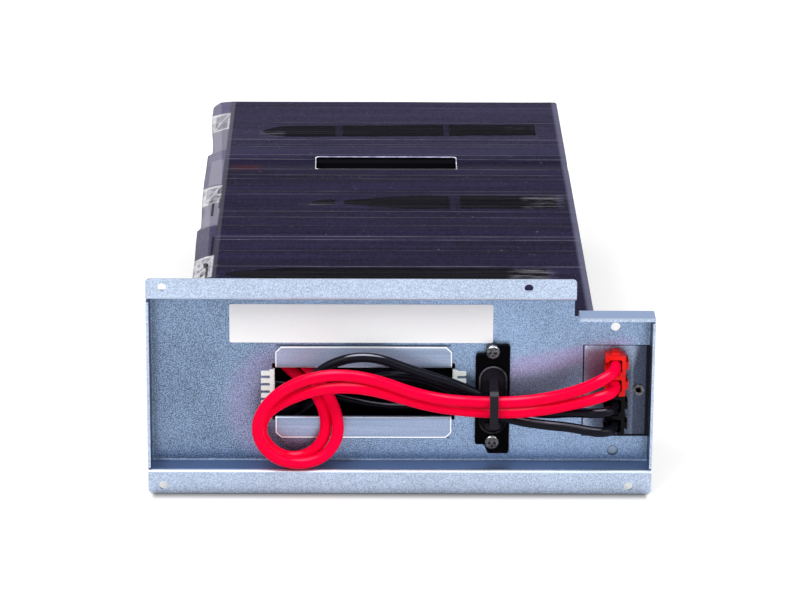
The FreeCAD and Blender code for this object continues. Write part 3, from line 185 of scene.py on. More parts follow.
class CartridgeStudio(bpy.types.PropertyGroup):
    """Camera, lamps and floor."""

    camera_place: FloatVectorProperty(
        name="Camera", description="Place of the camera, Y from the lips", size=3,
        default=(-0.01692, -1.36982, 0.55166), subtype="XYZ", unit="LENGTH")
    pitch: angle("Pitch", "How far the camera looks down", 0.3312)
    yaw: angle("Yaw", "How far the camera turns to the left", -0.0120)
    roll: angle("Roll", "How far the camera leans", 0.0066)
    lens: amount("Lens", "Focal length in millimetres", 168.36)
    key_power: power("Key lamp", 20.0)
    fill_power: power("Fill lamp", 12.0)
    top_power: power("Top lamp", 4.0)
    glint_power: power("Glint lamps", 2.2)
    world_light: amount("World", "Brightness of the room", 0.55)
    floor: colour("Floor", (0.78, 0.78, 0.78))
    # painted shadow on the floor in front of the lower lip
    contact: amount("Contact", "Darkness where the lip meets the floor", 0.78)
    floor_glow: amount("Floor glow", "What the floor adds where the camera sees it", 0.36)


# ---- shader expressions
class Value:
    """A socket of a shader that takes part in plain arithmetic."""

    def __init__(self, nodes, socket):
        self.nodes = nodes
        self.socket = socket

    def _math(self, operation, first, second):
        return self.nodes.node("Math", {0: first, 1: second}, operation=operation)

    def __add__(self, other):
        return self._math("ADD", self, other)

    def __mul__(self, other):
        return self._math("MULTIPLY", self, other)

    def __sub__(self, other):
        return self._math("SUBTRACT", self, other)

    def __rsub__(self, other):
        return self._math("SUBTRACT", other, self)

    def __pow__(self, other):
        return self._math("POWER", self, other)

    def __abs__(self):
        return self._math("ABSOLUTE", self, 0.0)

    def least(self, other):
        """The smaller of the two."""
        return self._math("MINIMUM", self, other)

    def most(self, other):
        """The larger of the two."""
        return self._math("MAXIMUM", self, other)

    def ramp(self, low, high):
        """0 up to low, 1 from high on, and smooth between them."""
        return self.nodes.node("MapRange", {"Value": self, "From Min": low, "From Max": high},
                               interpolation_type="SMOOTHSTEP")

    def band(self, low, high, soft):
        """1 between low and high, falling to 0 over a soft edge."""
        return self.ramp(low - soft, low) * (1 - self.ramp(high, high + soft))


def largest(values):
    """The largest of several values, place by place."""
    return reduce(Value.most, values)


class NodeTree:
    """A tree of shader nodes and the few ways in which its nodes are made."""

    def __init__(self, tree):
        self.tree = tree

    def put(self, socket, value):
        """Sets or links one socket."""
        if isinstance(value, Value):
            self.tree.links.new(value.socket, socket)
        elif socket.type == "RGBA" and len(value) == 3:
            socket.default_value = (*value, 1.0)
        else:
            socket.default_value = value

    def node(self, kind, sockets, output=0, **settings):
        """A node of one kind, with the values or links of its sockets and its settings."""
        made = self.tree.nodes.new("ShaderNode" + kind)
        for key, value in settings.items():
            setattr(made, key, value)
        for key, value in sockets.items():
            self.put(made.inputs[key], value)
        return Value(self, made.outputs[output])

    def mix(self, factor, first, second):
        """One colour turning into another."""
        return self.node("Mix", {0: factor, 6: first, 7: second}, 2, data_type="RGBA")

    def seen(self):
        """1 for what the camera, a gloss or a clear piece shows."""
        camera, gloss, clear = (self.node("LightPath", {}, f"Is {ray} Ray")
                                for ray in ("Camera", "Glossy", "Transmission"))
        return (camera + gloss + clear).least(1.0)


class Finish(NodeTree):
    """One material: its surface shader, the place on the piece and the patterns made from it."""

    def __init__(self, name, **constants):
        self.material = bpy.data.materials.new(name)
        self.material.use_nodes = True
        super().__init__(self.material.node_tree)
        self.shader = next(n for n in self.tree.nodes if n.type == "BSDF_PRINCIPLED")
        for key, value in constants.items():
            socket = key.replace("_", " ").title().replace("Ior", "IOR")
            self.shader.inputs[socket].default_value = value
        self.surface = None
        self.place = self.node("TexCoord", {}, "Object")
        self.x, self.y, self.z = (self.part(self.place, axis) for axis in range(3))

    def part(self, vector, axis):
        """One part of a vector."""
        return self.node("SeparateXYZ", {0: vector}, axis)

    def stretch(self, x, y, z):
        """The place, scaled along each axis."""
        return self.node("VectorMath", {0: self.place, 1: (x, y, z)}, operation="MULTIPLY")

    def distance(self, middle):
        """How far a place is from a point of the front, given by X and Z."""
        return (abs(self.x - middle[0]) ** 2 + abs(self.z - middle[1]) ** 2) ** 0.5

    def cloud(self, scale, detail=2.0, rough=0.5, where=None):
        """Soft noise from 0 to 1, so many spots to the metre."""
        return self.node("TexNoise", {"Vector": where or self.place, "Scale": scale,
                                      "Detail": detail, "Roughness": rough})

    def streaks(self, x, y, z, detail=3.0, rough=0.6):
        """Soft noise drawn out by its own number of spots to the metre along each axis."""
        return self.cloud(1.0, detail, rough, self.stretch(x, y, z))

    def facing(self, axis):
        """How far the surface faces along one axis, either way."""
        return abs(self.part(self.node("NewGeometry", {}, "Normal"), axis))

    def glint(self, low, high):
        """1 where a rounded surface faces up and forward."""
        normal = self.node("NewGeometry", {}, "Normal")
        towards = self.node("VectorMath", {0: normal, 1: GLINT_DIRECTION}, "Value",
                            operation="DOT_PRODUCT")
        return towards.ramp(low, high)

    def set(self, socket, value):
        """Sets or links a socket of the surface shader."""
        self.put(self.shader.inputs[socket], value)

    def lay(self, factor, colour):
        """Lays a colour over what the surface has, as far as the factor says."""
        self.surface = self.mix(factor, self.surface, colour)

    def cover(self, rough, relief, strength, depth):
        """Sets the colour, the roughness and the fine relief, and gives the material."""
        self.set("Base Color", self.surface)
        self.set("Roughness", rough)
        self.set("Normal", self.node("Bump", {"Strength": strength, "Distance": depth,
                                              "Height": relief}, "Normal"))
        return self.material


def shade(base, factor):
    """A colour made lighter or darker."""
    return tuple(min(1.0, part * factor) for part in base)


# ---- finishes
def sheet_tone(steel, base, contrast, grain=1750.0):
    """The speckled tone of zinc-coated sheet, with its speckle and its broad patches."""
    speckle = steel.cloud(grain, 2.0, 0.6)
    coarse = steel.cloud(grain * 0.4, 2.0, 0.5)
    patch = steel.cloud(34.0, 3.0, 0.6)
    tone = (speckle * 0.80 + coarse * 0.10 + patch * 0.14).ramp(0.36, 0.70)
    bright = steel.mix(tone, shade(base, 1.0 - contrast), shade(base, 1.0 + contrast))
    return bright, speckle, patch


def cover_sheet(steel, speckle, patch):
    """Colour, roughness and fine relief of a sheet."""
    return steel.cover(speckle * 0.20 + patch * 0.10 + 0.24, speckle, 0.22, 0.00012)


def red_light(steel):
    """Red light from the leads: round their loop, and above their run to the connectors."""
    left = 1 - steel.x.ramp(-0.030, -0.012)
    loop = steel.distance(LOOP_MIDDLE).band(0.0190, 0.0225, 0.0075) * left * 0.34
    above = (steel.z - 0.0475 - (steel.x - 0.045) * 0.20).band(0.0000, 0.0030, 0.0045)
    return loop.most(above * steel.x.band(0.048, 0.084, 0.012) * 0.60)


def window_flaps(steel, y, speckle, painted_red_light, shaded_recess):
    """The window's two flaps: a tone of their own, a painted red reflection, a painted highlight
    round their edges, and a painted shadow line beyond them.
    """
    out = abs(steel.z - WINDOW_MIDDLE[1])
    aside = WINDOW_HALF_WIDTH - abs(steel.x - WINDOW_MIDDLE[0])
    flap = y.band(FLAPS_Y, WEB_Y, 0.0001) * out.band(0.0098, FLAP_REACH + 0.0001, 0.0001)
    flap = flap * aside.ramp(-0.0001, 0.0001)
    lower = 1 - steel.z.ramp(0.036, 0.041)
    grain = steel.streaks(10.0, 10.0, 420.0)
    tone = (grain * 0.50 + speckle * 0.55 - lower * 0.02).ramp(0.28, 0.80)
    tone = steel.mix(tone, shade(shaded_recess, 0.80), (0.420, 0.490, 0.680))
    # painted red reflection of the leads on the flaps
    steel.lay(flap, steel.mix(painted_red_light * 0.15, tone, (0.60, 0.22, 0.42)))
    # painted highlight round the flaps' ends, chamfers and edges
    corner = (aside + FLAP_REACH - out - 0.0022) * 0.71
    outline_highlight = 1 - aside.least(FLAP_REACH - out).least(corner).ramp(0.00030, 0.00055)
    steel.lay(flap * outline_highlight, (0.93, 0.95, 0.98))
    # painted shadow: a dark line just beyond each flap
    beyond = y.ramp(WEB_Y + 0.0001, WEB_Y + 0.0004) * out.band(FLAP_REACH, 0.0196, 0.0002)
    steel.lay(beyond * aside.ramp(0.0, 0.001) * 0.65, (0.02, 0.025, 0.04))
    return flap * (1 - lower)


def galvanised_finish(name, base, shaded_recess):
    """Galvanised sheet: fine speckle, painted shade that makes the web behind the lips a darker
    blue and darkens the folds, the web's edges and a ring at the hole under the connectors, a
    painted red reflection, and painted highlights on the bends and round the outlined flaps.
    """
    steel = Finish(name, metallic=0.92)
    y = steel.y - LIPS_Y
    sideways, forward, upward = (steel.facing(axis) for axis in range(3))
    bright, speckle, patch = sheet_tone(steel, base, 0.30, 2100.0)
    # painted shade: the web behind the lips takes darker copies of the sheet's tone, and is darker
    # towards the left
    left, _, _ = sheet_tone(steel, shade(shaded_recess, 0.78), 0.70, 2300.0)
    right, _, _ = sheet_tone(steel, shade(shaded_recess, 1.06), 0.52, 2300.0)
    web = y.ramp(WEB_Y, WEB_Y + 0.0004)
    steel.surface = steel.mix(web, bright, steel.mix(steel.x.ramp(-0.070, 0.045), left, right))
    painted_red_light = red_light(steel)
    # painted red reflection of the leads on the web and the flaps
    steel.lay(painted_red_light * y.ramp(FLAPS_Y - 0.0002, FLAPS_Y + 0.0002) * 0.42, (0.48, 0.22, 0.50))
    # painted shade: the inner faces of the folds are painted dark, paler where they face up
    folds = y.band(0.0016, WEB_Y, 0.0006) * sideways.most(upward).ramp(0.80, 0.97)
    fold_shade = steel.mix(upward.ramp(0.50, 0.90), (0.045, 0.055, 0.085), (0.200, 0.290, 0.490))
    steel.lay(folds * 0.88, fold_shade)
    # painted shade where the web meets the folds
    rim = (WEB_HALF_WIDTH - abs(steel.x)).least(steel.z - WEB_Z[0]).least(WEB_Z[1] - steel.z)
    steel.lay(web * (1 - rim.ramp(0.0, 0.0042)) * 0.38, (0.03, 0.04, 0.06))
    upper_flap = window_flaps(steel, y, speckle, painted_red_light, shaded_recess)
    # painted highlight on the sheet's bends, except on the web
    bend_highlight = (1 - forward.most(sideways).most(upward).ramp(0.86, 0.96)) * y.ramp(-0.001, 0.0001)
    steel.lay(bend_highlight * (1 - web) * 0.55, (0.76, 0.84, 0.95))
    # painted shade: a dark ring at the edge of the hole under the connectors
    hole_edge_shade = steel.distance(BLIND_HOLE).band(0.0017, 0.0021, 0.0001)
    steel.lay(hole_edge_shade * web * 0.75, (0.03, 0.035, 0.05))
    steel.set("Metallic", 0.92 - upper_flap * 0.60)
    return cover_sheet(steel, speckle, patch)


def plate_finish(name, base):
    """The sheet of the connector plate, with painted shade beside and right of the connectors and
    below its top, a painted red reflection of the leads, and a painted shadow line along the edges
    of the cut-out in front of it.
    """
    steel = Finish(name, metallic=0.92)
    steel.surface, speckle, patch = sheet_tone(steel, base, 0.40)
    darker, _, _ = sheet_tone(steel, shade(base, 0.115), 0.40)
    # painted shade beside and right of the connectors, and below the plate's top
    beside = steel.x.band(0.0775, 0.0895, 0.0060) * 0.5
    shadow = beside.most(steel.x.ramp(0.0888, 0.0948))
    shadow = (shadow + (1 - steel.z.ramp(0.046, 0.058)) * 0.45).least(1.0)
    steel.lay(shadow, darker)
    steel.lay(1 - steel.z.ramp(0.0165, 0.0185), (0.30, 0.36, 0.46))
    # painted red reflection of the leads
    glow = steel.x.band(0.0740, 0.0800, 0.0030) * steel.z.band(0.0440, 0.0545, 0.0030)
    steel.lay(glow * 0.55, (0.20, 0.035, 0.085))
    # painted shadow line along the edges of the cut-out in front of the plate
    edge = (steel.x - 0.0716).least(0.0585 - steel.z).least(0.0973 - steel.x)
    line = (1 - edge.ramp(0.00050, 0.00085)).most(steel.z.band(0.0199, 0.0206, 0.0002))
    steel.lay(line * 0.93, (0.006, 0.006, 0.010))
    return cover_sheet(steel, speckle, patch)


def plated_finish(name, base):
    """Smooth plated metal with a few dull spots and a painted highlight."""
    plated = Finish(name, metallic=0.95)
    spots = plated.cloud(900.0, 3.0, 0.6)
    veil = plated.cloud(60.0)
    tone = (veil * 0.3 + spots * 0.7).ramp(0.38, 0.62)
    plated.surface = plated.mix(tone, shade(base, 0.35), shade(base, 1.9))
    # painted highlight where the surface faces up and forward
    plated.lay(plated.glint(0.82, 0.95) * 0.85, (0.86, 0.88, 0.92))
    return plated.cover(veil * 0.18 + 0.16, spots, 0.10, 0.0001)


def moulded_finish(name, base, rough, grain, gloss=0.0, shine=0.25, sparkle=0.0, **constants):
    """Moulded plastic: fine grain, a slow change of gloss and a painted highlight where rounded
    surfaces face up and forward.
    """
    plastic = Finish(name, specular_ior_level=shine, **constants)
    fine = plastic.cloud(grain, 3.0, 0.6)
    slow = plastic.cloud(45.0, 2.0, 0.5)
    plastic.surface = plastic.mix(slow * 0.6 + fine * 0.4, shade(base, 0.75), shade(base, 1.35))
    # painted highlight: a paler colour where rounded surfaces face up and forward
    pale = tuple(part * 0.62 + 0.30 for part in base)
    spark = plastic.glint(0.93, 0.99) * (slow.ramp(0.35, 0.62) * 0.6 + 0.2) * sparkle
    plastic.lay(spark, pale)
    plastic.set("Coat Weight", slow * gloss)
    return plastic.cover(fine * 0.10 + slow * 0.10 + rough, fine, 0.16, 0.00012)


def clamp_finish(name, base):
    """The clamp's base: a dark plate, a paler dish and a painted highlight on the rim round the
    boss, brightest at its top.
    """
    plastic = Finish(name, specular_ior_level=0.015)
    fine = plastic.cloud(1200.0, 3.0, 0.6)
    slow = plastic.cloud(160.0, 2.0, 0.5)
    plastic.surface = plastic.mix(slow * 0.6 + fine * 0.4, shade(base, 0.10), shade(base, 0.55))
    beyond = (abs(plastic.z - BOSS_MIDDLE[1]) - BOSS_HALF_STRAIGHT).most(0.0)
    away = (abs(plastic.x - BOSS_MIDDLE[0]) ** 2 + beyond ** 2) ** 0.5
    dish = (1 - away.ramp(0.0045, 0.0049)) * (slow.ramp(0.30, 0.65) * 0.6 + 0.4)
    plastic.lay(dish, shade(base, 4.0))
    # painted highlight on the rim round the boss, brightest at its top
    rim = away.band(0.0051, 0.0054, 0.0003) * (plastic.z.ramp(0.0400, 0.0490) * 0.55 + 0.32)
    rim = rim * (slow.ramp(0.40, 0.60) * 0.8 + 0.2)
    plastic.lay(rim, (0.125, 0.120, 0.150))
    return plastic.cover(fine * 0.10 + slow * 0.10 + 0.16, fine, 0.16, 0.00012)


def insulation_finish(name, base, rough, shine, gleam, gleam_from):
    """Extruded wire insulation: glossy, with faint drawing marks, a little dust and a painted
    highlight along the side that faces up and forward.
    """
    skin = Finish(name, specular_ior_level=shine)
    slow = skin.cloud(55.0, 2.0, 0.5)
    dust = skin.cloud(1400.0, 3.0, 0.6)
    # painted highlight along the side that faces up and forward
    spark = skin.glint(gleam_from, 0.990) * (slow.ramp(0.36, 0.62) * 0.6 + 0.2)
    skin.surface = skin.mix(slow, shade(base, 0.86), shade(base, 1.12))
    skin.lay(spark, gleam)
    rough = slow * 0.14 + dust * 0.08 + rough
    return skin.cover(rough, dust * 0.4 + slow, 0.10, 0.0002)


def label_finish(name, base):
    """Coated paper with faint fibres."""
    paper = Finish(name)
    fibre = paper.cloud(1100.0, 4.0, 0.7)
    slow = paper.cloud(30.0)
    paper.surface = paper.mix(fibre * 0.5 + slow * 0.5, shade(base, 0.94), shade(base, 1.03))
    return paper.cover(fibre * 0.15 + 0.42, fibre, 0.08, 0.0001)


def clinging_strips(film, y, ragged):
    """Where the film clings to the case under it, and where that cling is worn."""
    strips, ends = [], []
    for middle, slope, half, left, right, taper, wear in CLING_STRIPS:
        away = abs(y - middle - film.x * slope)
        width = film.x.ramp(left - taper * 0.3, left + taper) ** 0.6 * half
        edge = width - away + (ragged - 0.5) * 0.0040
        strips.append(edge.ramp(-0.0004, 0.0008) * film.x.band(left, right, 0.0005))
        end = film.x.band(right - 0.011, right, 0.006) * wear
        start = film.x.band(left, left + 0.008, 0.003) * (y - middle).ramp(0.001, -0.006)
        ends.append(end.most(start * 0.8 * (1.0 - wear)) * (away - half).ramp(0.0010, -0.0010))
    cling = largest(strips)
    for left, right, depth in CLING_BREAKS:
        cling = cling * (1 - film.x.band(left, right, 0.0010) * y.ramp(0.10, 0.11) * depth)
    seam = film.x.band(0.0232, 0.0268, 0.0006) * y.band(0.150, 0.180, 0.004)
    return cling * (1 - seam * 0.8), largest(ends)


def free_edge(film, y, base, pale, broad, ragged):
    """The overhang's tone: bands of violet and grey, crumpled patches with painted highlights and
    painted shade in their crease lines, and dark bars.
    """
    x = film.x
    grey = y.band(0.2450, 0.2765, 0.0020).most(y.band(0.1345, 0.1650, 0.0020))
    grey = grey.most(y.band(0.1930, 0.2290, 0.0015) * x.band(-0.0820, -0.0768, 0.0004) * 0.8)
    violet = film.mix(broad.ramp(0.35, 0.65), (0.135, 0.120, 0.215), (0.170, 0.155, 0.255))
    loose = film.mix(grey, violet, (0.265, 0.250, 0.330))
    loose = film.mix((1 - y.ramp(0.130, 0.136)) * 0.70, loose, shade(base, 2.2))
    cells = film.node("TexVoronoi", {"Vector": film.stretch(1.0, 0.42, 0.42), "Scale": 520.0},
                      "Color")
    facets = film.node("SeparateColor", {0: cells})
    # each crumpled patch: pale film with a painted highlight round its rim and along a diagonal,
    # and painted shade in its crease lines
    for low, high, broken in CRUMPLED_PATCHES:
        inside = y.band(low, high, 0.0006)
        rim = 1 - (y - low).least(high - y).ramp(0.0012, 0.0030)
        rim = rim.most(1 - (x + 0.0832).least(-0.0762 - x).ramp(0.0004, 0.0011))
        diagonal_glint = 1 - abs((x + 0.0797) * 3.6 - (y - (low + high) / 2)).ramp(0.0010, 0.0030)
        marks = (rim * 0.9).most(diagonal_glint * 0.8) * (ragged.ramp(0.30, 0.62) * 0.60 + 0.40)
        marks = marks.most((facets - 0.45) * broken * 1.4)
        crumpled = film.mix(marks, shade(pale, 0.46), (0.80, 0.80, 0.84))
        loose = film.mix(inside, loose, crumpled)
        crease_shade = inside * facets.ramp(0.16, 0.10) * broken
        loose = film.mix(crease_shade, loose, (0.010, 0.010, 0.016))
    for place, low, high in DARK_BARS:
        bar = x.band(place - 0.0004, place + 0.0004, 0.0003) * y.band(low, high, 0.0010)
        loose = film.mix(bar * 0.85, loose, (0.006, 0.006, 0.010))
    return loose


def film_finish(name, base, pale):
    """Tinted shrink film: drawing streaks, black strips that cling, a crumpled free edge, painted
    shade over a gap between the cases, and painted highlights along the fold over the cases and
    along the right edge.
    """
    film = Finish(name, specular_ior_level=0.005)
    x, y = film.x, film.y - LIPS_Y
    fine = film.streaks(14.0, 1200.0, 1200.0)
    streak = film.streaks(9.0, 430.0, 430.0, 4.0, 0.65)
    broad = film.streaks(5.0, 60.0, 60.0)
    ragged = film.streaks(110.0, 420.0, 420.0, 4.0, 0.7)
    grain = film.streaks(900.0, 330.0, 330.0, 2.0)
    dust = film.cloud(520.0)
    tone = (fine * 0.32 + streak * 0.46 + broad * 0.38 + grain * 0.42).ramp(0.52, 1.06)
    film.surface = film.mix(tone, shade(base, 0.25), shade(base, 1.9))
    far = film.mix(tone, (0.016, 0.012, 0.036), (0.054, 0.045, 0.094))
    film.lay(y.ramp(0.225, 0.245) * 0.60, far)
    film.lay(y.band(0.2365, 0.2475, 0.0020) * 0.35, (0.030, 0.030, 0.075))
    # painted shade over the gap between two cases
    gap = y.band(0.2165, 0.2296, 0.0012)
    film.lay(gap * 0.45, (0.010, 0.009, 0.024))
    film.lay(dust.ramp(0.70, 0.78) * 0.12, pale)
    # the red cover of a terminal shows through
    glow = x.band(-0.0712, -0.0610, 0.0026) * y.band(0.2130, 0.2225, 0.0025)
    film.lay(glow * ragged.ramp(0.25, 0.60) * 0.55, (0.050, 0.004, 0.012))
    top = film.z.ramp(FILM_HIGH.z - 0.0035, FILM_HIGH.z - 0.0015)
    cling, worn = clinging_strips(film, y, ragged)
    cling = cling * top
    black = film.mix(streak.ramp(0.4, 0.7), (0.003, 0.003, 0.004), (0.016, 0.015, 0.019))
    film.lay(cling * 0.95, black)
    scratch = (fine * 0.35 + streak * 0.35 + ragged * 0.45).ramp(0.54, 0.70) * worn * top
    film.lay(scratch * 0.36, shade(pale, 0.55))
    lines = largest([y.band(place - 0.0001, place + 0.0001, 0.0005) * strength
                     for place, strength in PALE_LINES])
    drift = film.streaks(38.0, 90.0, 90.0).ramp(0.32, 0.62) * 0.75 + 0.25
    film.lay(lines * top * drift * 0.42, shade(pale, 0.50))
    # the fold over the edge of the cases, then the overhang beyond it
    # painted highlight along the fold over the left edge of the cases, stronger towards the rear
    root = x.band(CASE_LOW.x - 0.0002, CASE_LOW.x + 0.0008, 0.0007) * top
    film.lay(root * (y.ramp(0.12, 0.30) * 0.22 + 0.22), shade(pale, 0.30))
    free = 1 - x.ramp(CASE_LOW.x - 0.0010, CASE_LOW.x - 0.0002)
    film.lay(free * top, free_edge(film, y, base, pale, broad, ragged))
    # painted highlight along the film's rounded right edge
    edge = x.ramp(CASE_HIGH.x - 0.0026, CASE_HIGH.x - 0.0008)
    film.lay(edge * (streak * 0.5 + 0.40), (0.150, 0.150, 0.235))
    film.set("Alpha", 0.94 - free * 0.22)
    rough = streak * 0.18 + fine * 0.10 + cling * 0.20 + 0.24
    return film.cover(rough, streak * 0.7 + ragged * cling * 0.6, 0.20, 0.0001)


def bead_finish(name, pale):
    """The thick cut edge of the film: a thin line with a painted highlight, brightest on its far
    side and in the corners.
    """
    bead = Finish(name)
    tone = bead.cloud(260.0, 3.0, 0.6)
    far = bead.y.ramp(SLOT_Y[0] + 0.004, SLOT_Y[1] - 0.002) * (tone.ramp(0.30, 0.60) * 0.6 + 0.4)
    line = bead.mix(far, shade(pale, 0.07), (0.58, 0.60, 0.88))
    corner = 1 - bead.x.band(SLOT_X[0] + SLOT_CORNER, SLOT_X[1] - SLOT_CORNER, 0.0010)
    bead.surface = bead.mix(corner * tone.ramp(0.42, 0.60), line, (0.90, 0.90, 0.95))
    return bead.cover(tone * 0.2 + 0.15, tone, 0.2, 0.0002)


# ---- helpers for pieces
def paint(patterns, material):
    """Gives CAD nodes a finish. A star stands for any part of a name."""
    for pattern in patterns:
        for name in fnmatch.filter(NODES, pattern):
            mesh = NODES[name].data
            mesh.materials.clear()
            mesh.materials.append(material)


def new_piece(name, data, material):
    """A piece that rides on the cartridge."""
    piece = bpy.data.objects.new(name, data)
    bpy.context.scene.collection.objects.link(piece)
    data.materials.append(material)
    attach(piece, BODY)
    return piece


def mesh_from(name, vertices, faces):
    """A smooth-shaded mesh."""
    mesh = bpy.data.meshes.new(name)
    mesh.from_pydata([tuple(v) for v in vertices], [], faces)
    mesh.shade_smooth()
    mesh.validate()
    return mesh


def colours():
    """The colours that the user has set."""
    return bpy.context.scene.cartridge_colours


def sizes():
    """The sizes that the user has set."""
    return bpy.context.scene.cartridge_sizes


def studio():
    """The camera, lamps and floor that the user has set."""
    return bpy.context.scene.cartridge_studio


# ---- leads
# Points of each route from its inner end to its outer end: X, Y behind the lips, Z
RED_LEAD_1 = (
    (-0.0605, 0.02095, 0.05675), (-0.0545, 0.02095, 0.05675), (-0.0465, 0.0198, 0.0548),
    (-0.0392, 0.0172, 0.0498), (-0.0330, 0.0128, 0.0436), (-0.0276, 0.0082, 0.0372),
    (-0.0243, 0.0048, 0.0294), (-0.0246, 0.0030, 0.0212), (-0.0302, 0.0016, 0.0142),
    (-0.0392, 0.0004, 0.0119), (-0.0490, -0.0010, 0.0146), (-0.0556, -0.0024, 0.0226),
    (-0.0560, -0.0034, 0.0324), (-0.0502, -0.0042, 0.0416), (-0.0410, -0.0046, 0.0480),
    (-0.0300, -0.0046, 0.0512), (-0.0186, -0.0044, 0.0510), (-0.0076, -0.0036, 0.0482),
    (0.0032, -0.0024, 0.0436), (0.0145, -0.0014, 0.0402), (0.0265, -0.0008, 0.0389),
    (0.0385, -0.0006, 0.0385), (0.0500, -0.0008, 0.0392), (0.0605, -0.0016, 0.0414),
    (0.0700, -0.0042, 0.0452), (0.0780, -0.0058, 0.0496), (0.0842, 0.0002, 0.05135),
    (0.0842, 0.0086, 0.05135),
)
RED_LEAD_2 = (
    (-0.0605, 0.02095, 0.05195), (-0.0545, 0.02095, 0.05195), (-0.0475, 0.0196, 0.0490),
    (-0.0422, 0.0176, 0.0444), (-0.0368, 0.0150, 0.0404), (-0.0316, 0.0106, 0.0356),
    (-0.0290, 0.0068, 0.0288), (-0.0296, 0.0056, 0.0214), (-0.0345, 0.0056, 0.0150),
    (-0.0425, 0.0054, 0.0126), (-0.0502, 0.0044, 0.0160), (-0.0552, 0.0026, 0.0242),
    (-0.0532, 0.0006, 0.0328), (-0.0466, -0.0014, 0.0386), (-0.0380, -0.0030, 0.0430),
    (-0.0285, -0.0038, 0.0456), (-0.0185, -0.0036, 0.0458), (-0.0085, -0.0022, 0.0436),
    (0.0015, 0.0000, 0.0396), (0.0120, 0.0012, 0.0362), (0.0235, 0.0014, 0.0344),
    (0.0355, 0.0010, 0.0337), (0.0470, 0.0006, 0.0339), (0.0578, 0.0000, 0.0356),
    (0.0680, -0.0020, 0.0386), (0.0774, -0.0054, 0.0424), (0.0842, 0.0002, 0.04305),
    (0.0842, 0.0086, 0.04305),
)
BLACK_LEAD_1 = (
    (-0.0500, 0.0176, 0.0281), (-0.0438, 0.0176, 0.0281), (-0.0416, 0.0138, 0.0330),
    (-0.0400, 0.0084, 0.0394), (-0.0356, 0.0050, 0.0460), (-0.0286, 0.0038, 0.0522),
    (-0.0192, 0.0034, 0.0558), (-0.0088, 0.0032, 0.0556), (0.0008, 0.0032, 0.0518),
    (0.0106, 0.0034, 0.0482), (0.0204, 0.0036, 0.0450), (0.0290, 0.0044, 0.0408),
    (0.0372, 0.0054, 0.0360), (0.0466, 0.0052, 0.0332), (0.0568, 0.0044, 0.0318),
    (0.0674, 0.0024, 0.0334), (0.0774, -0.0026, 0.0347), (0.0842, 0.0010, 0.03475),
    (0.0842, 0.0086, 0.03475),
)
BLACK_LEAD_2 = (
    (-0.0500, 0.0176, 0.0239), (-0.0430, 0.0176, 0.0239), (-0.0364, 0.0186, 0.0292),
    (-0.0286, 0.0176, 0.0366), (-0.0196, 0.0138, 0.0420), (-0.0104, 0.0092, 0.0454),
    (-0.0010, 0.0068, 0.0472), (0.0082, 0.0066, 0.0462), (0.0174, 0.0066, 0.0426),
    (0.0268, 0.0060, 0.0374), (0.0364, 0.0054, 0.0316), (0.0464, 0.0040, 0.0290),
    (0.0568, 0.0014, 0.0284), (0.0672, -0.0006, 0.0282), (0.0774, -0.0042, 0.0272),
    (0.0842, 0.0006, 0.02645), (0.0842, 0.0086, 0.02645),
)
# name, node that it stands for, route, real length, colour
LEADS = (
    ("red_lead_upper", "lead_red_1", RED_LEAD_1, 0.269, "red"),
    ("red_lead_lower", "lead_red_2", RED_LEAD_2, 0.248, "red"),
    ("black_lead_upper", "lead_black_1", BLACK_LEAD_1, 0.165, "black"),
    ("black_lead_lower", "lead_black_2", BLACK_LEAD_2, 0.156, "black"),
)


def lead_curve(name, route, diameter):
    """A round lead along the smooth line of its route."""
    curve = bpy.data.curves.new(name, "CURVE")
    curve.dimensions = "3D"
    curve.bevel_depth = diameter / 2
    curve.bevel_resolution = 7
    curve.use_fill_caps = True
    spline = curve.splines.new("NURBS")
    spline.points.add(len(route) - 1)
    for point, (x, y, z) in zip(spline.points, route):
        point.co = (x, y + LIPS_Y, z, 1.0)
    spline.order_u = 3
    spline.use_endpoint_u = True
    spline.resolution_u = 10
    return curve


# ---- shrink film
def film_left_edge(y):
    """X of the film's ragged left edge at a distance behind the lips."""
    stops = ((0.000, -0.0838), (0.087, -0.0840), (0.131, -0.0845), (0.135, -0.0832),
             (0.186, -0.0843), (0.2427, -0.0843), (0.2465, -0.0824), (0.300, -0.0846),
             (0.314, -0.0845), (0.3245, -0.0812))
    for (y0, x0), (y1, x1) in zip(stops, stops[1:]):
        if y <= y1:
            share = max(0.0, (y - y0) / (y1 - y0))
            return x0 + (x1 - x0) * share * share * (3 - 2 * share)
    return stops[-1][1]


def steps(start, end, pitch, extra=()):
    """Places from start to end about a pitch apart, with some more put in exactly."""
    marks = sorted({start, end, *(e for e in extra if min(start, end) < e < max(start, end))})
    if start > end:
        marks.reverse()
    places = []
    for a, b in zip(marks, marks[1:]):
        count = max(1, round(abs(b - a) / pitch))
        places += [a + (b - a) * i / count for i in range(count)]
    return places + [end]


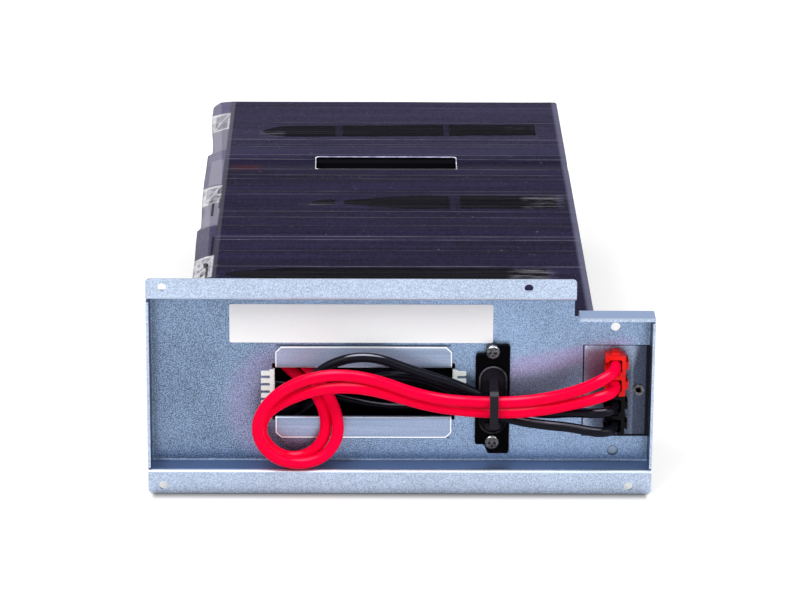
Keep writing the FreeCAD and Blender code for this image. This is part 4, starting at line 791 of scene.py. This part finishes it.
def film_section(corner):
    """Stations round the film: Y, Z and the outward direction, with the name of the side."""
    low_y, high_y, low_z, high_z = FILM_LOW.y, FILM_HIGH.y, FILM_LOW.z, FILM_HIGH.z
    stations = []
    for y in steps(low_y + corner, high_y - corner, 0.0020, SLOT_Y):
        stations.append((y, high_z, 0.0, 1.0, "top"))
    sides = (
        ((high_y - corner, high_z - corner), 90.0,
         [(high_y, z, 1.0, 0.0, "back") for z in steps(high_z - corner, low_z + corner, 0.0050)]),
        ((high_y - corner, low_z + corner), 0.0,
         [(y, low_z, 0.0, -1.0, "bottom") for y in steps(high_y - corner, low_y + corner, 0.0080)]),
        ((low_y + corner, low_z + corner), -90.0,
         [(low_y, z, -1.0, 0.0, "front")
          for z in steps(low_z + corner, high_z - corner, 0.0040, EXIT_Z)]),
        ((low_y + corner, high_z - corner), -180.0, []),
    )
    for (cy, cz), start, run in sides:
        for i in range(1, 5):
            turn = math.radians(start - 90.0 * i / 5)
            ny, nz = math.cos(turn), math.sin(turn)
            stations.append((cy + corner * ny, cz + corner * nz, ny, nz, "corner"))
        stations += run
    return stations


def film_lift(x, y):
    """How far the film's top stands above its nominal face."""
    ridge = noise.noise(Vector((x * 14.0, y * 230.0, 3.0))) * 0.00007
    broad = noise.noise(Vector((x * 18.0, y * 45.0, 9.0))) * 0.00012
    gap = math.exp(-((y - 0.2231) / 0.0060) ** 2) * 0.0008
    seam = math.exp(-((y - 0.1208) / 0.0018) ** 2) * 0.00025
    return ridge + broad + 0.00012 - gap - seam


def film_overhang(x, y, share, drop, crumple):
    """How far the free left part of the film hangs, by its share of the overhang."""
    waves = math.sin(y * 210.0) * 0.25 + math.sin(y * 83.0 + 1.0) * 0.35
    stiff = 1.0 - 0.75 * max(0.0, min(1.0, (y - 0.285) / 0.035))
    hang = drop * share ** 1.6 * (1.0 + 0.5 * waves) * stiff
    patch = max(math.exp(-((y - middle) / 0.012) ** 4) for middle in (0.2900, 0.1778, 0.0788))
    ribs = math.exp(-((y - 0.113) / 0.022) ** 4) * 0.6
    facets = noise.voronoi(Vector((x * 260.0, y * 190.0, 2.0)))[0][0]
    return hang + (patch + ribs) * crumple * share ** 0.5 * (facets - 0.35) * 1.6


def film_row(station, across):
    """One row of the film's points: the free edge, the run over the cases and the curled edge."""
    y, z, ny, nz, side = station
    behind = y - LIPS_Y
    size = sizes()
    lift = film_lift if side == "top" else (lambda *_: 0.0)
    edge, left, right = film_left_edge(behind), across[0], across[-1]
    row = []
    for share in (i / 9 for i in range(9)):
        x = edge + (left - edge) * share
        inward = film_overhang(x, behind, 1 - share, size.film_drop, size.film_crumple)
        row.append((x, lift(x, behind) * share - inward))
    row += [(x, lift(x, behind)) for x in across]
    for turn in (math.radians(a) for a in (25, 50, 75, 90)):
        out = lift(right, behind) - CURL_RADIUS * (1 - math.cos(turn))
        row.append((right + CURL_RADIUS * math.sin(turn), out))
    ragged = 0.0020 + 0.0006 * noise.noise(Vector((behind * 120.0, z * 120.0, 5.0)))
    row.append((right + CURL_RADIUS, -ragged))
    return [(x, y + ny * out, z + nz * out) for x, out in row]


def film_is_open(side, x, y, z):
    """Whether a place lies in the slot or in the leads' exit."""
    if side == "top":
        return SLOT_X[0] < x < SLOT_X[1] and SLOT_Y[0] < y < SLOT_Y[1]
    return side == "front" and EXIT_X[0] < x < EXIT_X[1] and EXIT_Z[0] < z < EXIT_Z[1]


def build_film():
    """The shrink film as one sleeve with its slot, its cable exit and its crumpled free edge."""
    stations = film_section(0.0023)
    across = steps(CASE_LOW.x, CASE_HIGH.x - 0.0003, 0.0024, SLOT_X + EXIT_X)
    rows = [film_row(station, across) for station in stations]
    columns = len(rows[0])
    faces = []
    for i, station in enumerate(stations):
        j = (i + 1) % len(stations)
        after = stations[j]
        middle_y, middle_z = (station[0] + after[0]) / 2, (station[1] + after[1]) / 2
        side = station[4] if station[4] == after[4] else "corner"
        for k in range(columns - 1):
            middle_x = (rows[i][k][0] + rows[i][k + 1][0]) / 2
            if not film_is_open(side, middle_x, middle_y, middle_z):
                low, high = i * columns + k, j * columns + k
                faces.append((low, high, high + 1, low + 1))
    mesh = mesh_from("shrink_film_sleeve", [point for row in rows for point in row], faces)
    shaper = bmesh.new()
    shaper.from_mesh(mesh)
    loose = [v for v in shaper.verts if not v.link_faces]
    bmesh.ops.delete(shaper, geom=loose, context="VERTS")
    shaper.to_mesh(mesh)
    shaper.free()
    return mesh


def circle(middle, radius, start, sweep, count):
    """Places along part of a circle."""
    turns = (math.radians(start + sweep * i / count) for i in range(count + 1))
    return [(middle[0] + radius * math.cos(turn), middle[1] + radius * math.sin(turn))
            for turn in turns]


def slot_bead(radius):
    """The bright bead that runs round the slot."""
    near, far = SLOT_Y[0] + SLOT_CORNER, SLOT_Y[1] - SLOT_CORNER
    left, right = SLOT_X[0] + SLOT_CORNER, SLOT_X[1] - SLOT_CORNER
    line = []
    for middle, start in (((right, near), -90), ((right, far), 0), ((left, far), 90),
                          ((left, near), 180)):
        line += circle(middle, SLOT_CORNER, start, 90, 6)
    dense = []
    for (x0, y0), (x1, y1) in zip(line, line[1:] + line[:1]):
        count = max(1, round(math.hypot(x1 - x0, y1 - y0) / 0.0016))
        dense += [(x0 + (x1 - x0) * i / count, y0 + (y1 - y0) * i / count) for i in range(count)]
    vertices = []
    sides, count = 8, len(dense)
    for i, (x, y) in enumerate(dense):
        ahead, behind = dense[(i + 1) % count], dense[i - 1]
        along = Vector((ahead[0] - behind[0], ahead[1] - behind[1], 0)).normalized()
        outward = Vector((along.y, -along.x, 0))
        middle = Vector((x, y, FILM_HIGH.z + film_lift(x, y - LIPS_Y) + radius * 0.3))
        thick = radius * (1.0 + 0.25 * noise.noise(Vector((x * 300, y * 300, 1.0))))
        for out, up in circle((0.0, 0.0), thick, 0, 360, sides)[:-1]:
            vertices.append(middle + outward * out + Vector((0, 0, up)))
    faces = []
    for i in range(count):
        j = (i + 1) % count
        for k in range(sides):
            m = (k + 1) % sides
            faces.append((i * sides + k, j * sides + k, j * sides + m, i * sides + m))
    return mesh_from("film_slot_bead", vertices, faces)


def bore_shade_disc():
    """A dark disc inside the bore of the rivet: painted shade in the bore."""
    x, y, z = RIVET_PLACE
    radius, depth, sides = 0.00108, 0.0004, 24
    ring = circle((x, z), radius, 0, 360, sides)[:-1]
    vertices = [(a, LIPS_Y + y + d, b) for d in (0.0, depth) for a, b in ring]
    faces = [tuple(range(sides)), tuple(reversed(range(sides, 2 * sides)))]
    faces += [(i, i + sides, (i + 1) % sides + sides, (i + 1) % sides) for i in range(sides)]
    return mesh_from("rivet_bore_shade", vertices, faces)


# ---- operators
class CARTRIDGE_OT_steelwork(bpy.types.Operator):
    """Finish the panel, the tray, the connector plate, the rivet and the screws"""

    bl_idname = "cartridge.steelwork"
    bl_label = "Steelwork"

    def execute(self, context):
        tint = colours()
        paint(("front_panel", "base_tray"),
              galvanised_finish("galvanised_sheet", tint.steel, tint.shaded_recess))
        paint(("connector_plate",), plate_finish("plated_sheet", tint.plate))
        paint(("plate_rivet",), plated_finish("rolled_rivet", shade(tint.nickel, 0.7)))
        # painted shade: a dark disc inside the rivet's bore
        core = moulded_finish("painted_bore_shade", tint.black_moulding, 0.6, 800.0, shine=0.0)
        new_piece("rivet_bore_shade", bore_shade_disc(), core)
        paint(("clamp_screw_upper", "clamp_screw_lower"),
              plated_finish("nickel_screw", shade(tint.nickel, 0.6)))
        return {"FINISHED"}


class CARTRIDGE_OT_mouldings(bpy.types.Operator):
    """Finish the window edging, the clamp and the connector housings"""

    bl_idname = "cartridge.mouldings"
    bl_label = "Mouldings"

    def execute(self, context):
        tint = colours()
        paint(("window_edging_left", "window_edging_right"),
              moulded_finish("natural_nylon_edging", tint.nylon, 0.34, 700.0, 0.3,
                             subsurface_weight=0.15, subsurface_scale=0.002))
        paint(("clamp_base",), clamp_finish("black_clamp", tint.black_moulding))
        paint(("clamp_strap",),
              moulded_finish("black_strap", shade(tint.black_moulding, 4.0), 0.16, 1200.0,
                             shine=0.06, sparkle=0.22))
        paint(("connector_housing_red*",),
              moulded_finish("red_connector", tint.red_housing, 0.16, 900.0, shine=0.10))
        paint(("connector_housing_black*",),
              moulded_finish("black_connector", tint.black_moulding, 0.14, 900.0,
                             shine=0.06, sparkle=0.3))
        paint(("connector_contact*", "*_terminal_*"),
              plated_finish("silvered_contact", tint.silver))
        return {"FINISHED"}


class CARTRIDGE_OT_label(bpy.types.Operator):
    """Finish the blank label"""

    bl_idname = "cartridge.label"
    bl_label = "Label"

    def execute(self, context):
        paint(("blank_label",), label_finish("blank_paper", colours().label))
        return {"FINISHED"}


class CARTRIDGE_OT_batteries(bpy.types.Operator):
    """Finish the batteries, their boots and the pad between them"""

    bl_idname = "cartridge.batteries"
    bl_label = "Batteries"

    def execute(self, context):
        tint = colours()
        paint(("*_case",),
              moulded_finish("grained_case", tint.case, 0.42, 1500.0, shine=0.015))
        paint(("*_lid", "*_vent_cover"),
              moulded_finish("grained_lid", tint.lid, 0.40, 1500.0, shine=0.01))
        paint(("*_boot_positive",),
              moulded_finish("red_cover", shade(tint.red_housing, 0.9), 0.30, 800.0, 0.3))
        paint(("*_boot_negative",),
              moulded_finish("black_cover", tint.black_moulding, 0.30, 800.0, 0.3))
        paint(("battery_pad", "tray_liner"), moulded_finish("foam_pad", tint.foam, 0.75, 900.0))
        return {"FINISHED"}


class CARTRIDGE_OT_leads(bpy.types.Operator):
    """Build the four leads and finish the wiring that stays inside"""

    bl_idname = "cartridge.leads"
    bl_label = "Leads"

    def execute(self, context):
        tint = colours()
        finishes = {
            "red": insulation_finish("red_insulation", tint.red_lead, rough=0.20, shine=0.03,
                                     gleam=(1.0, 0.085, 0.17), gleam_from=0.950),
            "black": insulation_finish("black_insulation", tint.black_lead, rough=0.08, shine=0.075,
                                       gleam=(0.46, 0.46, 0.57), gleam_from=0.966),
        }
        for name, node, route, real_length, tone in LEADS:
            diameter = getattr(sizes(), f"{tone}_lead")
            lead = new_piece(name, lead_curve(name, route, diameter), finishes[tone])
            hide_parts(node)
        paint(("long_jumper", "short_jumper", "feed_lead"), finishes["black"])
        paint(("lead_splice",), moulded_finish("black_sleeve", tint.black_moulding, 0.40, 600.0))
        return {"FINISHED"}


class CARTRIDGE_OT_film(bpy.types.Operator):
    """Build the shrink film and the bead round its slot"""

    bl_idname = "cartridge.film"
    bl_label = "Shrink film"

    def execute(self, context):
        tint = colours()
        film = new_piece("shrink_film_sleeve", build_film(),
                         film_finish("tinted_film", tint.film, tint.film_pale))
        thicken = film.modifiers.new("thickness", "SOLIDIFY")
        thicken.thickness = sizes().film_thickness
        thicken.offset = 0.0
        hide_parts("shrink_film")
        new_piece("film_slot_bead", slot_bead(sizes().film_bead),
                  bead_finish("film_cut_edge", tint.film_pale))
        return {"FINISHED"}


def lamp(name, place, target, size, watts):
    """A large soft lamp."""
    data = bpy.data.lights.new(name, "AREA")
    data.shape = "RECTANGLE"
    data.size, data.size_y = size
    data.energy = watts
    made = bpy.data.objects.new(name, data)
    bpy.context.scene.collection.objects.link(made)
    made.location = place
    made.rotation_mode = "QUATERNION"
    made.rotation_quaternion = (Vector(target) - Vector(place)).to_track_quat("-Z", "Y")
    return made


class CARTRIDGE_OT_camera(bpy.types.Operator):
    """Make the camera"""

    bl_idname = "cartridge.camera"
    bl_label = "Camera"

    def execute(self, context):
        look = studio()
        data = bpy.data.cameras.new("camera")
        data.lens = look.lens
        camera = bpy.data.objects.new("camera", data)
        context.scene.collection.objects.link(camera)
        turn = Matrix.Rotation(look.yaw, 3, "Z") @ Matrix.Rotation(math.pi / 2 - look.pitch, 3, "X")
        turn = turn @ Matrix.Rotation(look.roll, 3, "Z")
        camera.rotation_mode = "QUATERNION"
        camera.rotation_quaternion = turn.to_quaternion()
        camera.location = Vector(look.camera_place) + Vector((0.0, LIPS_Y, 0.0))
        context.scene.camera = camera
        return {"FINISHED"}


class CARTRIDGE_OT_stage(bpy.types.Operator):
    """Make the floor, the room and the lamps"""

    bl_idname = "cartridge.stage"
    bl_label = "Stage"

    def execute(self, context):
        look = studio()
        scene = context.scene
        scene.view_settings.view_transform = "Standard"
        half, z = FLOOR_HALF, FLOOR_Z
        corners = [(-half, -half, z), (half, -half, z), (half, half, z), (-half, half, z)]
        mesh = bpy.data.meshes.new("floor")
        mesh.from_pydata(corners, [], [(0, 1, 2, 3)])
        floor = bpy.data.objects.new("floor", mesh)
        scene.collection.objects.link(floor)
        mesh.materials.append(self.floor_finish(look))
        self.room(scene, look)
        middle = (0.0, 0.0, 0.04)
        lamp("key_lamp", (-0.9, -1.1, 1.5), middle, (1.3, 1.0), look.key_power)
        lamp("fill_lamp", (1.3, -0.8, 0.9), middle, (1.0, 1.0), look.fill_power)
        lamp("top_lamp", (0.1, 0.9, 1.6), middle, (1.4, 0.8), look.top_power)
        lamp("left_glint_lamp", (-0.45, -0.75, 1.2), middle, (0.20, 0.20), look.glint_power)
        lamp("right_glint_lamp", (0.55, -0.55, 1.1), middle, (0.16, 0.16), look.glint_power * 0.6)
        return {"FINISHED"}

    def floor_finish(self, look):
        """A pale matt floor with a painted shadow under the lip, and a little glow of its own where
        it is seen.
        """
        floor = Finish("pale_floor")
        grain = floor.cloud(60.0)
        ahead = LIPS_Y - floor.y
        # painted shadow on the floor just in front of the lower lip
        contact = (1 - ahead.ramp(0.0, 0.012)) ** 2 * ahead.ramp(-0.003, -0.001)
        lit = 1 - contact * floor.x.band(-0.096, 0.096, 0.003) * look.contact
        pale = floor.mix(grain, shade(look.floor, 0.995), look.floor)
        floor.set("Base Color", floor.mix(lit, (0.0, 0.0, 0.0), pale))
        floor.set("Roughness", grain * 0.05 + 0.85)
        floor.set("Specular IOR Level", 0.0)
        floor.set("Emission Strength", 1.0)
        glow = floor.seen() * look.floor_glow * lit
        floor.set("Emission Color", floor.mix(glow, (0.0, 0.0, 0.0), (1.0, 1.0, 1.0)))
        return floor.material

    def room(self, scene, look):
        """The white room round the cartridge."""
        world = bpy.data.worlds.new("room")
        scene.world = world
        world.use_nodes = True
        room = NodeTree(world.node_tree)
        background = next(n for n in room.tree.nodes if n.type == "BACKGROUND")
        strength = room.seen() * (1.0 - look.world_light) + look.world_light
        room.put(background.inputs["Strength"], strength)
        room.put(background.inputs["Color"], (1.0, 1.0, 1.0))


PIECES = (
    CARTRIDGE_OT_camera, CARTRIDGE_OT_leads, CARTRIDGE_OT_steelwork, CARTRIDGE_OT_mouldings,
    CARTRIDGE_OT_label, CARTRIDGE_OT_batteries, CARTRIDGE_OT_film, CARTRIDGE_OT_stage,
)


class CARTRIDGE_PT_pieces(bpy.types.Panel):
    """Lists the pieces of the cartridge"""

    bl_idname = "CARTRIDGE_PT_pieces"
    bl_label = "Battery Cartridge"
    bl_space_type = "VIEW_3D"
    bl_region_type = "UI"
    bl_category = "Cartridge"

    def draw(self, context):
        for piece in PIECES:
            self.layout.operator(piece.bl_idname)
        for group in (sizes(), colours(), studio()):
            box = self.layout.box()
            for name in group.__annotations__:
                box.prop(group, name)


GROUPS = {"cartridge_sizes": CartridgeSizes, "cartridge_colours": CartridgeColours,
          "cartridge_studio": CartridgeStudio}
CLASSES = (*GROUPS.values(), *PIECES, CARTRIDGE_PT_pieces)


def register():
    """Adds the operators, the panel and the properties to Blender."""
    for each in CLASSES:
        bpy.utils.register_class(each)
    for name, group in GROUPS.items():
        setattr(bpy.types.Scene, name, PointerProperty(type=group))


def unregister():
    """Takes them out again."""
    for name in GROUPS:
        delattr(bpy.types.Scene, name)
    for each in reversed(CLASSES):
        bpy.utils.unregister_class(each)


def main():
    """Builds every piece in order."""
    register()
    bpy.ops.cartridge.camera()
    bpy.ops.cartridge.leads()
    bpy.ops.cartridge.steelwork()
    bpy.ops.cartridge.mouldings()
    bpy.ops.cartridge.label()
    bpy.ops.cartridge.batteries()
    bpy.ops.cartridge.film()
    bpy.ops.cartridge.stage()


if __name__ == "__main__":
    main()
